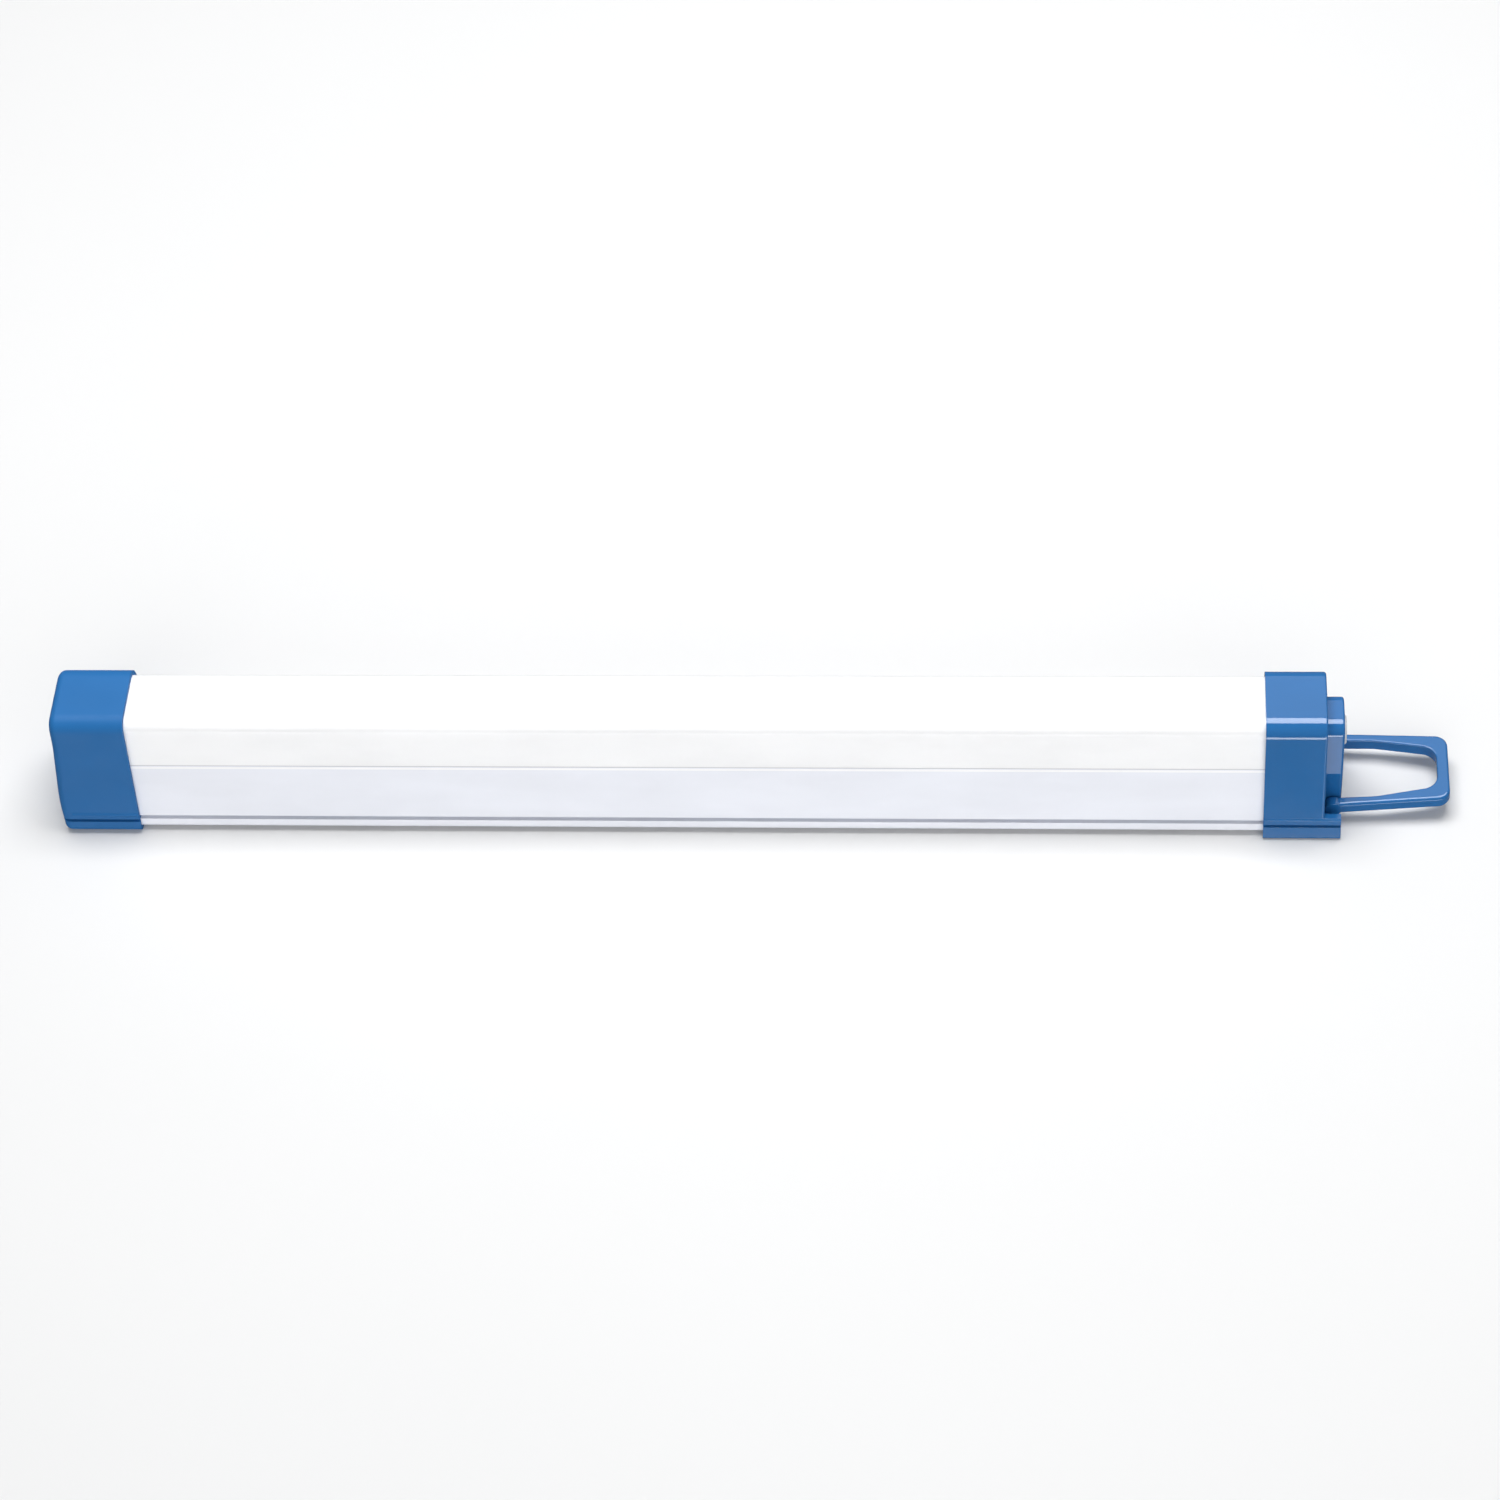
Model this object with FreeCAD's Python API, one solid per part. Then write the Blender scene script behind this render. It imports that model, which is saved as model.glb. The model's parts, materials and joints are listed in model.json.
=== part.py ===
import FreeCAD, Part
import math
import os

# Rechargeable LED light tube with a swing-out hook, in millimetres.
# X runs along the tube with the hook at +X, Y across it, +Z up from the flat back.
# The origin is the centre of the flat back: half way along the tube, on its
# centre plane, in the plane that the two end caps rest on.

# ---- overall sizes ------------------------------------------------------------
BODY_LENGTH = 320.0          # between the upper end edges of the two caps
TUBE_HEIGHT = 32.2           # white tube, back to light-giving face
BASE_HALF = 15.95            # half width of the tube across its back
TOP_HALF = 8.5               # half width across the light face, before rounding
TUBE_CORNER = 3.2            # rounding of the two upper long edges
CAP_LENGTH = 19.0            # from a cap's mouth to its outer end
TUBE_IN_CAP = 8.0            # how far the tube reaches into each cap
CAP_WALL = 1.1               # wall of a cap where it grips the tube
CAP_FIT = 0.1                # gap between cap and tube, all round

# ---- tube ----------------------------------------------------------------------
WALL = 1.3                   # wall of the housing and of the diffuser
SEAM_UNDER_STRIP = 0.65      # diffuser's lower edge below the light strip
TONGUE = 1.0                 # inner lip of the housing that the diffuser clips over
TONGUE_FIT = 0.1
TONGUE_RISE = 3.2            # lip above the seam
TONGUE_ROOT = 2.0            # lip below the seam, where it joins the wall
GROOVE_HEIGHT = 4.3          # centre of the clip groove, above the back plane
GROOVE_WIDTH = 1.1
GROOVE_DEPTH = 1.1
FOOT_BEHIND_GROOVE = 1.3     # wall left behind the clip groove
FOOT_OVER_GROOVE = 1.45      # thicker wall above the clip groove
BASE_CORNER = 0.8            # rounding of the two lower long edges

# ---- end caps ------------------------------------------------------------------
END_ROUND = 2.0              # rounding of the plain cap's outer end and of its lower long edges
END_UPRIGHT = 8.6            # the plain cap's end is upright this far down from its top
END_BOW = 1.2                # below that it leans out this far
END_BOW_HEIGHT = 9.0         # where it leans out most
END_FOOT = 0.7               # the end's lower edge beyond its upper edge
END_BEND = 60.0              # radius of the bends between those stretches
STEP_ROUND = 0.6             # rounding of the hook cap's upper end
END_PLATE = 1.7              # end wall of both caps
SHOULDER = 0.9               # ledge that the tube's end stops against
CAP_GROOVE_WIDTH = 0.8
CAP_GROOVE_DEPTH = 0.8
BEAD_RADIUS = 0.6            # half-round bead above the groove
BEAD_OVER_GROOVE = 1.8       # centre of the bead above the centre of the groove
BEAD_PROUD = 0.28

# ---- screws that hold the caps ---------------------------------------------------
SCREW_INSET = 5.05           # screw axis inside the tube's widest line
SCREW_LIFT = 3.1             # screw axis above the housing's floor
SCREW_RADIUS = 1.3
SCREW_LENGTH = 10.0
SCREW_HEAD_RADIUS = 2.3
SCREW_HEAD_HEIGHT = 1.7
SCREW_HEAD_ROUND = 0.55
SCREW_POINT = 0.65           # chamfer at the tip
SCREW_CROSS = (0.5, 2.6, 0.9)      # width, length and depth of the cross recess
SCREW_GAP = 0.15             # radial gap in the cap
THREAD_GAP = 0.02            # radial gap where a thread bites
SCREW_SEAT = 3.9             # head seat beyond the tube's end
POST_WALL = 1.05             # cap post round the screw head
CHANNEL_WALL = 1.0           # housing channel round the thread

# ---- magnets ---------------------------------------------------------------------
MAGNET_RADIUS = 4.0
MAGNET_THICK = 2.0
MAGNET_GAP = 0.05
MAGNET_SUNK = 0.1
MAGNET_COVER = 1.1           # floor of the cap above a magnet
MAGNET_APART = 0.4           # edge of a magnet from the centre plane
MAGNET_FROM_TUBE = 0.8       # edge of a magnet beyond the tube's end

# ---- hook and the boss that it folds round -----------------------------------------
HOOK_SHORT = 1.7             # the folded hook's tip below the top of the cap
HOOK_BAR = 2.9               # width of the bar across the tip
HOOK_LEG = 2.4               # width of a leg at the pivot
HOOK_THICK = 3.6
HOOK_INSET = 4.65            # leg's outer side inside the tube's widest line
HOOK_TAPER = 1.5             # each outer side draws in this much to the tip
HOLE_DRAW = 0.35             # each side of the opening draws in this much to its middle
HOLE_MID_SHARE = 0.41        # where along the opening it starts to narrow
HOLE_TIP_INSET = 2.6         # end of the opening inside the light face's half width
HOLE_CORNER = 4.0
HOLE_BEND = 12.0             # rounding where each side of the opening starts to narrow
HOOK_CORNER = 3.2
HOOK_EDGE = 0.8              # rounding of the hook's outer edges
HOLE_EDGE = 0.4              # rounding of the opening's edges
EYE_WALL = 0.3               # eye beyond the leg's surface
EYE_CLEAR = 1.1              # gap between eye and ledge
STEP_GAP = 0.4               # gap between eye and the cap's end
PIVOT_BACK = 1.6             # pivot centre inside the end of the rails
PIN_RADIUS = 0.9             # trunnion moulded on the hook
PIN_GAP = 0.05
NEST_GAP = 0.35              # between the folded hook and the boss
HOOK_REST_DEG = 2.3          # the hook's tilt above the tube's line at rest
BOSS_PROUD = 0.3             # boss face beyond the rails
BOSS_WALL = 1.5
BOSS_EDGE = 0.7
RAIL_OVER_EYE = 0.3          # rails beside the pivot stand this far above the eyes
RAIL_WALL = 1.5
LEDGE = 1.2                  # thin floor under the hook's eyes

# ---- controls on the boss ------------------------------------------------------------
BUTTON_FROM_TOP = 7.65       # button centre below the top of the boss
BUTTON_RADIUS = 3.6
BUTTON_EDGE = 0.5
BUTTON_GAP = 0.15
BUTTON_PROUD = 0.7
BUTTON_TRAVEL = 0.5
BUTTON_RIM = 0.7             # rim that keeps the button in, wider than the hole
BUTTON_RIM_THICK = 0.9
BUTTON_RIM_GAP = 0.3
SOCKET_RISE = 0.9            # socket centre above the board's lower edge
SOCKET_WIDTH = 8.94
SOCKET_HEIGHT = 3.26
SOCKET_SHELL = 0.3
SOCKET_BACK = 1.0            # back wall of the socket shell
SOCKET_SUNK = 0.3
SOCKET_GAP = 0.18
TONGUE_THICK = 0.7           # contact tongue in the socket
TONGUE_WIDTH = 6.7
TONGUE_SUNK = 1.0
PIPE_Y = 2.6
PIPE_RADIUS = 1.1
PIPE_GAP = 0.05
PIPE_RIM = 0.5
PIPE_RIM_THICK = 0.6
PIPE_FROM_LED = 0.4
INDICATOR = (0.8, 2.0, 1.3)        # height, width and length of an indicator light

# ---- control board ---------------------------------------------------------------------
BOARD_THICK = 1.6
BOARD_FROM_TUBE = 2.0        # back of the board beyond the tube's end
BOARD_GAP = 0.4
BOARD_CORNER = 1.0
BOARD_OVER_POSTS = 0.6       # board's lower edge above the cap's screw posts
BOARD_UNDER_TOP = 4.0        # board's upper edge below the top of the tube
SWITCH_SIZE = 6.0
SWITCH_HEIGHT = 3.5
PLUNGER_RADIUS = 1.75
PLUNGER_GAP = 0.1
PLUNGER_ROOT = 0.5           # plunger inside the switch at rest
BOARD_SCREW_INSET = 2.3      # board screws inside the board's sloping sides
BOARD_SCREW_ENDS = 2.85      # board screws inside its lower and upper edges
BOARD_SCREW_RADIUS = 0.8
BOARD_HEAD_RADIUS = 1.4
BOARD_HEAD_HEIGHT = 0.9
BOARD_CROSS = (0.35, 1.6, 0.5)
BOARD_SCREW_LENGTH = 3.6
BOARD_POST_RADIUS = 1.6
CHIP = (1.4, 4.9, 3.9)             # height, width and length of a chip
CHIP_PLACES = ((-3.4, 4.5), (3.6, 9.3))      # centres: across, and above the lower edge
COIL_RADIUS = 2.4
COIL_HEIGHT = 1.8
COIL_PLACE = (-3.6, 9.9)
PASSIVE = (0.7, 1.6, 1.0)
PASSIVE_PLACES = ((2.4, 2.7), (4.8, 2.7), (6.6, 5.5), (2.2, 5.5), (-0.4, 14.7), (2.4, 14.7))

# ---- light strip -------------------------------------------------------------------------
STRIP_THICK = 1.0
STRIP_OVER_CELLS = 0.35
STRIP_GAP = 0.1
STRIP_IN_SLOT = 0.5
STRIP_SHORT = 2.0            # strip ends this far inside the tube's ends
LED_LENGTH = 3.5
LED_WIDTH = 2.8
LED_HEIGHT = 0.8
LED_LENS = 0.3               # chamfer that frames the yellow window
LED_ROWS = 2
LED_ROW_PITCH = 8.0
LED_PITCH = 9.7
LED_MARGIN = 11.0            # least run of bare strip beyond the last light
RESISTOR = (2.0, 1.25, 0.5)
RESISTOR_FIRST = 2
RESISTOR_EVERY = 5
STRIP_WIRE_RADIUS = 0.5
STRIP_WIRE_Y = 2.2
STRIP_WIRE_LAP = 3.0         # how far the leads lie on the strip

# ---- battery --------------------------------------------------------------------------------
CELL_RADIUS = 9.15
CELL_LENGTH = 65.0
CELL_GAP = 3.0               # between the two cells
CELL_LIFT = 0.1              # under the cell
CELL_EDGE = 0.6
NUB_RADIUS = 2.8
NUB_HEIGHT = 0.9
RING_THICK = 0.3             # paper ring round the nub
RING_INSET = 1.0
RING_GAP = 0.3
STRAP_THICK = 0.2
STRAP_WIDTH = 6.0
STRAP_HEIGHT = 9.0
CRADLE_Y = 5.6
CRADLE_WIDTH = 1.0
FOAM_THICK = 6.0
FOAM_GAP = 1.6               # room for a lead between tab and foam
FOAM_FIT = 0.2
WIRE_RADIUS = 0.65
WIRE_BEND = 1.6
WIRE_GAP = 0.3               # between a battery lead and the ribs, floor and lips beside it
WIRE_LIFT_OFF = 8.0          # where a lead leaves the floor, short of the cap
WIRE_PAD_RISE = 9.3          # solder pads above the board's lower edge
WIRE_LAST_RUN = 2.5          # straight into the board

# ---- sizes that follow -------------------------------------------------------------------------
END = BODY_LENGTH / 2
MOUTH = END - CAP_LENGTH
TUBE_END = MOUTH + TUBE_IN_CAP
OVERHANG = CAP_WALL + CAP_FIT
TUBE_FLOOR = OVERHANG
INNER_FLOOR = TUBE_FLOOR + WALL
TUBE_TOP = TUBE_FLOOR + TUBE_HEIGHT
CAP_TOP = TUBE_TOP + OVERHANG
DRAFT = math.atan((BASE_HALF - TOP_HALF) / TUBE_HEIGHT)

CELL_Z = INNER_FLOOR + CELL_LIFT + CELL_RADIUS
STRIP_BOTTOM = CELL_Z + CELL_RADIUS + STRIP_OVER_CELLS
STRIP_TOP = STRIP_BOTTOM + STRIP_THICK
SEAM_HEIGHT = STRIP_BOTTOM - SEAM_UNDER_STRIP
LIP_INNER = -WALL - TONGUE_FIT - TONGUE      # offset of the lip's inner face
BEAD_HEIGHT = GROOVE_HEIGHT + BEAD_OVER_GROOVE
WIRE_Y = CRADLE_Y + CRADLE_WIDTH + WIRE_GAP + WIRE_RADIUS
WIRE_Z = INNER_FLOOR + WIRE_GAP + WIRE_RADIUS

SCREW_Y = BASE_HALF - SCREW_INSET
SCREW_Z = INNER_FLOOR + SCREW_LIFT
POST_RADIUS = SCREW_HEAD_RADIUS + SCREW_GAP + POST_WALL
CHANNEL_RADIUS = SCREW_RADIUS + CHANNEL_WALL
CAP_FLOOR = MAGNET_SUNK + MAGNET_THICK + MAGNET_COVER
MAGNET_Y = MAGNET_RADIUS + MAGNET_APART
MAGNET_X = TUBE_END + MAGNET_RADIUS + MAGNET_FROM_TUBE

EYE_RADIUS = HOOK_THICK / 2 + EYE_WALL
PIVOT_X = END - PIVOT_BACK
PIVOT_Z = LEDGE + EYE_CLEAR + EYE_RADIUS
STEP_X = PIVOT_X - EYE_RADIUS - STEP_GAP
RAIL_HEIGHT = PIVOT_Z + EYE_RADIUS + RAIL_OVER_EYE
HOOK_REACH = CAP_TOP - HOOK_SHORT - PIVOT_Z
HOOK_HOLE = HOOK_REACH - HOOK_BAR
HOOK_HALF_ROOT = BASE_HALF - HOOK_INSET
HOOK_HALF_TIP = HOOK_HALF_ROOT - HOOK_TAPER
HOLE_HALF_ROOT = HOOK_HALF_ROOT - HOOK_LEG
HOLE_HALF_MID = HOLE_HALF_ROOT - HOLE_DRAW
HOLE_HALF_TIP = TOP_HALF - HOLE_TIP_INSET
HOLE_MID = HOOK_HOLE * HOLE_MID_SHARE
BOSS_X = END + BOSS_PROUD
BOSS_TOP = PIVOT_Z + HOOK_HOLE - NEST_GAP
BOSS_CORNER = HOLE_CORNER - NEST_GAP
FACE_INNER = BOSS_X - BOSS_WALL

BOARD_BACK = TUBE_END + BOARD_FROM_TUBE
BOARD_FRONT = BOARD_BACK + BOARD_THICK
BOARD_LOW = SCREW_Z + POST_RADIUS + BOARD_OVER_POSTS
BOARD_HIGH = TUBE_TOP - BOARD_UNDER_TOP
BUTTON_Z = BOSS_TOP - BUTTON_FROM_TOP
SOCKET_Z = BOARD_LOW + SOCKET_RISE
SOCKET_TOP = SOCKET_Z + SOCKET_HEIGHT / 2
PIPE_Z = (SOCKET_TOP + BUTTON_Z - BUTTON_RADIUS - BUTTON_RIM) / 2

CUT_PAST = 1.0               # cutting shapes run this far past a face
EPS = 0.01                   # laps that make two shapes one solid
FLAT = 1e-6                  # two places this close are the same
FAR = 3 * TUBE_HEIGHT        # beyond every section

ALONG = FreeCAD.Vector(1, 0, 0)
ACROSS = FreeCAD.Vector(0, 1, 0)
UP = FreeCAD.Vector(0, 0, 1)


def half_width(height, offset=0.0):
    """Half width of the tapered tube at a height, moved outward by an offset."""
    return BASE_HALF - (height - TUBE_FLOOR) * math.tan(DRAFT) + offset / math.cos(DRAFT)


def rounded_wire(corners, radii):
    """Closed wire through the corners, each rounded by its own radius."""
    starts, edges, ends = [], [], []
    count = len(corners)
    for i in range(count):
        here = corners[i]
        back = corners[i - 1] - here
        ahead = corners[(i + 1) % count] - here
        back.normalize()
        ahead.normalize()
        half = back.getAngle(ahead) / 2
        reach = radii[i] / math.tan(half)
        starts.append(here + back * reach)
        ends.append(here + ahead * reach)
        if radii[i] > 0:
            middle = back + ahead
            middle.normalize()
            depth = radii[i] / math.sin(half) - radii[i]
            edges.append([Part.Arc(starts[i], here + middle * depth, ends[i]).toShape()])
        else:
            edges.append([])
    loop = []
    for i in range(count):
        loop += edges[i]
        loop.append(Part.LineSegment(ends[i], starts[(i + 1) % count]).toShape())
    return Part.Wire(loop)


def prism(outline, radii, x0, x1):
    """Solid along X whose section is the rounded outline of (y, z) corners."""
    corners = [FreeCAD.Vector(x0, y, z) for y, z in outline]
    return Part.Face(rounded_wire(corners, radii)).extrude(ALONG * (x1 - x0))


def mirrored(right_side):
    """Whole outline from its right-hand corners, listed from low to high."""
    return right_side + [(-y, z) for y, z in reversed(right_side)]


def tapered(offset, low, high, low_round, high_round, x0, x1):
    """Solid with the tube's tapered section, moved outward by the offset."""
    outline = mirrored([(half_width(low, offset), low), (half_width(high, offset), high)])
    return prism(outline, [low_round, high_round, high_round, low_round], x0, x1)


def block(x0, x1, y0, y1, z0, z1):
    return Part.makeBox(x1 - x0, y1 - y0, z1 - z0, FreeCAD.Vector(x0, y0, z0))


def rod(radius, start, length, direction=ALONG):
    return Part.makeCylinder(radius, length, FreeCAD.Vector(*start), direction)


def both_sides(make):
    """The shapes that make(+1) and make(-1) give, as one list."""
    return [make(1), make(-1)]


def fused(shapes):
    return shapes[0].multiFuse(shapes[1:]).removeSplitter()


def save(name, shape):
    """Write one sub-part as its own STEP file."""
    solids = shape.Solids
    body = solids[0] if len(solids) == 1 else Part.makeCompound(solids)
    for solid in solids:
        if not solid.isValid():
            raise ValueError(name + " has a solid that isn't valid")
    body.exportStep("parts/" + name + ".step")
    print(name, len(solids), round(body.Volume, 1))


def side_strip(side, low, high, outer, inner, x0, x1):
    """Bar that follows the tube's side between two heights and two offsets."""
    outline = [(side * half_width(low, inner), low), (side * half_width(low, outer), low),
               (side * half_width(high, outer), high), (side * half_width(high, inner), high)]
    return prism(outline, [0, 0, 0, 0], x0, x1)


# ---- white tube ------------------------------------------------------------------
def make_diffuser():
    """Milky cover: the flat light face and the two upper sides."""
    outer = tapered(0, SEAM_HEIGHT, TUBE_TOP, 0, TUBE_CORNER, -TUBE_END, TUBE_END)
    inner = tapered(-WALL, SEAM_HEIGHT - CUT_PAST, TUBE_TOP - WALL, 0, TUBE_CORNER - WALL,
                    -TUBE_END - CUT_PAST, TUBE_END + CUT_PAST)
    return outer.cut(inner)


def make_housing():
    """White tray: floor, lower sides with clip grooves, strip slots and screw channels."""
    x0, x1 = -TUBE_END, TUBE_END
    shell = tapered(0, TUBE_FLOOR, SEAM_HEIGHT, BASE_CORNER, 0, x0, x1)
    cavity = tapered(-WALL, INNER_FLOOR, SEAM_HEIGHT + CUT_PAST, 0, 0, x0 - CUT_PAST, x1 + CUT_PAST)
    parts = [shell.cut(cavity)]
    for side in (1, -1):
        parts += side_thickening(side, x0, x1) + screw_channel(side, x0, x1)
        parts.append(cradle_rib(side, x0, x1))
    solid = fused(parts).common(tapered(0, TUBE_FLOOR, TUBE_TOP, BASE_CORNER, 0, x0, x1))
    x0, x1 = x0 - CUT_PAST, x1 + CUT_PAST
    cuts = []
    for side in (1, -1):
        cuts.append(side_strip(side, GROOVE_HEIGHT - GROOVE_WIDTH / 2, GROOVE_HEIGHT + GROOVE_WIDTH / 2,
                               CUT_PAST, -GROOVE_DEPTH, x0, x1))
        cuts.append(rod(SCREW_RADIUS + THREAD_GAP, (x0, side * SCREW_Y, SCREW_Z), x1 - x0))
    slot_half = strip_half() + STRIP_GAP
    cuts.append(block(x0, x1, -slot_half, slot_half, STRIP_BOTTOM - STRIP_GAP, STRIP_TOP + STRIP_GAP))
    return solid.cut(Part.makeCompound(cuts))


def side_thickening(side, x0, x1):
    """Thicker foot behind the clip groove, and the lip that the diffuser clips over."""
    foot_top = GROOVE_HEIGHT + GROOVE_WIDTH / 2 + FOOT_OVER_GROOVE
    foot_inner = -GROOVE_DEPTH - FOOT_BEHIND_GROOVE
    lip_low, lip_high = SEAM_HEIGHT - TONGUE_ROOT, SEAM_HEIGHT + TONGUE_RISE
    lip_outer = -WALL - TONGUE_FIT
    return [side_strip(side, INNER_FLOOR - EPS, foot_top, -WALL + EPS, foot_inner, x0, x1),
            side_strip(side, lip_low, SEAM_HEIGHT - EPS, -WALL + EPS, LIP_INNER, x0, x1),
            side_strip(side, SEAM_HEIGHT - 2 * EPS, lip_high, lip_outer, LIP_INNER, x0, x1)]


def screw_channel(side, x0, x1):
    """Round channel along the floor that a cap screw bites into, and its foot."""
    half = CHANNEL_RADIUS / 2
    y = side * SCREW_Y
    return [rod(CHANNEL_RADIUS, (x0, y, SCREW_Z), x1 - x0),
            block(x0, x1, y - half, y + half, INNER_FLOOR - EPS, SCREW_Z)]


def cradle_rib(side, x0, x1):
    """Rib on the floor that keeps the cells on the centre line."""
    y0 = CRADLE_Y if side > 0 else -CRADLE_Y - CRADLE_WIDTH
    drop = math.sqrt((CELL_RADIUS + CELL_LIFT) ** 2 - CRADLE_Y ** 2)
    return block(x0, x1, y0, y0 + CRADLE_WIDTH, INNER_FLOOR - EPS, CELL_Z - drop)


def strip_half():
    """Half width of the light strip, which reaches into the slots of the lips."""
    return half_width(STRIP_TOP, LIP_INNER) + STRIP_IN_SLOT


# ---- end caps ----------------------------------------------------------------------
def cap_cutters(sign, end):
    """What both caps lose: tube pocket, grooves, screw holes and magnet pockets."""
    def span(a, b):
        return (a, b) if sign > 0 else (-b, -a)

    x0, x1 = span(MOUTH - CUT_PAST, TUBE_END)
    pocket = tapered(CAP_FIT, TUBE_FLOOR - CAP_FIT, TUBE_TOP + CAP_FIT, BASE_CORNER,
                     TUBE_CORNER + CAP_FIT, x0, x1)
    half = GROOVE_WIDTH / 2 - CAP_FIT
    tongues = both_sides(lambda side: side_strip(side, GROOVE_HEIGHT - half, GROOVE_HEIGHT + half, CUT_PAST,
                                                 CAP_FIT - GROOVE_DEPTH, x0 - CUT_PAST, x1 + CUT_PAST))
    cuts = [pocket.cut(Part.makeCompound(tongues))]
    low, high = GROOVE_HEIGHT - CAP_GROOVE_WIDTH / 2, GROOVE_HEIGHT + CAP_GROOVE_WIDTH / 2
    for side in (1, -1):
        x0, x1 = span(MOUTH - CUT_PAST, end + CUT_PAST)
        cuts.append(side_strip(side, low, high, OVERHANG + FAR, OVERHANG - CAP_GROOVE_DEPTH, x0, x1))
        x0, x1 = span(TUBE_END - CUT_PAST, TUBE_END + SCREW_SEAT + CUT_PAST)
        cuts.append(rod(SCREW_RADIUS + SCREW_GAP, (x0, side * SCREW_Y, SCREW_Z), x1 - x0))
        x0, x1 = span(TUBE_END + SCREW_SEAT, end + CUT_PAST)
        cuts.append(rod(SCREW_HEAD_RADIUS + SCREW_GAP, (x0, side * SCREW_Y, SCREW_Z), x1 - x0))
        cuts.append(rod(MAGNET_RADIUS + MAGNET_GAP, (sign * MAGNET_X, side * MAGNET_Y, -CUT_PAST),
                        MAGNET_THICK + MAGNET_SUNK + CUT_PAST, UP))
    return cuts


def cap_beads(x0, x1):
    """Half-round bead along both sides, just above the groove."""
    y = half_width(BEAD_HEIGHT, OVERHANG) + BEAD_PROUD - BEAD_RADIUS
    return both_sides(lambda side: rod(BEAD_RADIUS, (x0, side * y, BEAD_HEIGHT), x1 - x0))


def edges_at(shape, x):
    """Edges that lie wholly in the plane at a station along X."""
    return [e for e in shape.Edges
            if abs(e.BoundBox.XMin - x) < FLAT and abs(e.BoundBox.XMax - x) < FLAT]


def screw_posts(x0, x1, inside):
    """Posts round the cap screws, kept within the cap's own outline."""
    posts = both_sides(lambda side: rod(POST_RADIUS, (x0, side * SCREW_Y, SCREW_Z), x1 - x0))
    return [post.common(inside) for post in posts]


def cap_cavity(x0, x1):
    """Hollow beyond the tube's end, above the thick floor that holds the magnets."""
    inset = CAP_FIT - SHOULDER
    return tapered(inset, CAP_FLOOR, TUBE_TOP - SHOULDER, 0, TUBE_CORNER - SHOULDER, x0, x1)


def leaning_bar():
    """Bar across the tube whose -X side is the profile of the plain cap's end."""
    outline = [(-END, CAP_TOP), (-END, CAP_TOP - END_UPRIGHT), (-END - END_BOW, END_BOW_HEIGHT),
               (-END - END_FOOT, 0), (-MOUTH, 0), (-MOUTH, CAP_TOP)]
    corners = [FreeCAD.Vector(x, -FAR, z) for x, z in outline]
    wire = rounded_wire(corners, [0, END_BEND, END_BEND, 0, 0, 0])
    return Part.Face(wire).extrude(ACROSS * 2 * FAR)


def make_end_cap():
    """Plain blue cap at -X."""
    outermost = END + END_BOW
    body = tapered(OVERHANG, 0, CAP_TOP, END_ROUND + EPS, TUBE_CORNER + OVERHANG, -outermost, -MOUTH)
    body = body.common(leaning_bar())
    inside = body.copy()
    body = body.makeFillet(END_ROUND, [e for e in body.Edges if e.BoundBox.XMax < -END + FLAT])
    body = fused([body] + cap_beads(-END + END_ROUND, -MOUTH))
    body = body.cut(cap_cavity(-END + END_PLATE, -TUBE_END + EPS))
    posts = screw_posts(-END + END_PLATE - EPS, -TUBE_END, inside)
    return fused([body] + posts).cut(Part.makeCompound(cap_cutters(-1, outermost)))


def make_boss(inset, x0, x1):
    """Boss along X: the hook's opening less the nesting gap, stood upright."""
    gap = NEST_GAP + inset
    corner = max(BOSS_CORNER - inset, EPS)
    right = [(HOLE_HALF_ROOT - gap, PIVOT_Z - HOLE_MID),
             (HOLE_HALF_MID - gap, PIVOT_Z + HOLE_MID),
             (HOLE_HALF_TIP - gap, BOSS_TOP - inset)]
    return prism(mirrored(right), [0, 0, corner, corner, 0, 0], x0, x1)


def board_screw_places():
    """Centres of the four board screws, set in from the board's sloping sides."""
    places = []
    for height in (BOARD_LOW + BOARD_SCREW_ENDS, BOARD_HIGH - BOARD_SCREW_ENDS):
        half = half_width(height, board_offset()) - BOARD_SCREW_INSET
        places += [(half, height), (-half, height)]
    return places


def board_offset():
    """The board's outline from the tube's: inside the cap's cavity by a gap."""
    return CAP_FIT - SHOULDER - BOARD_GAP


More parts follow.
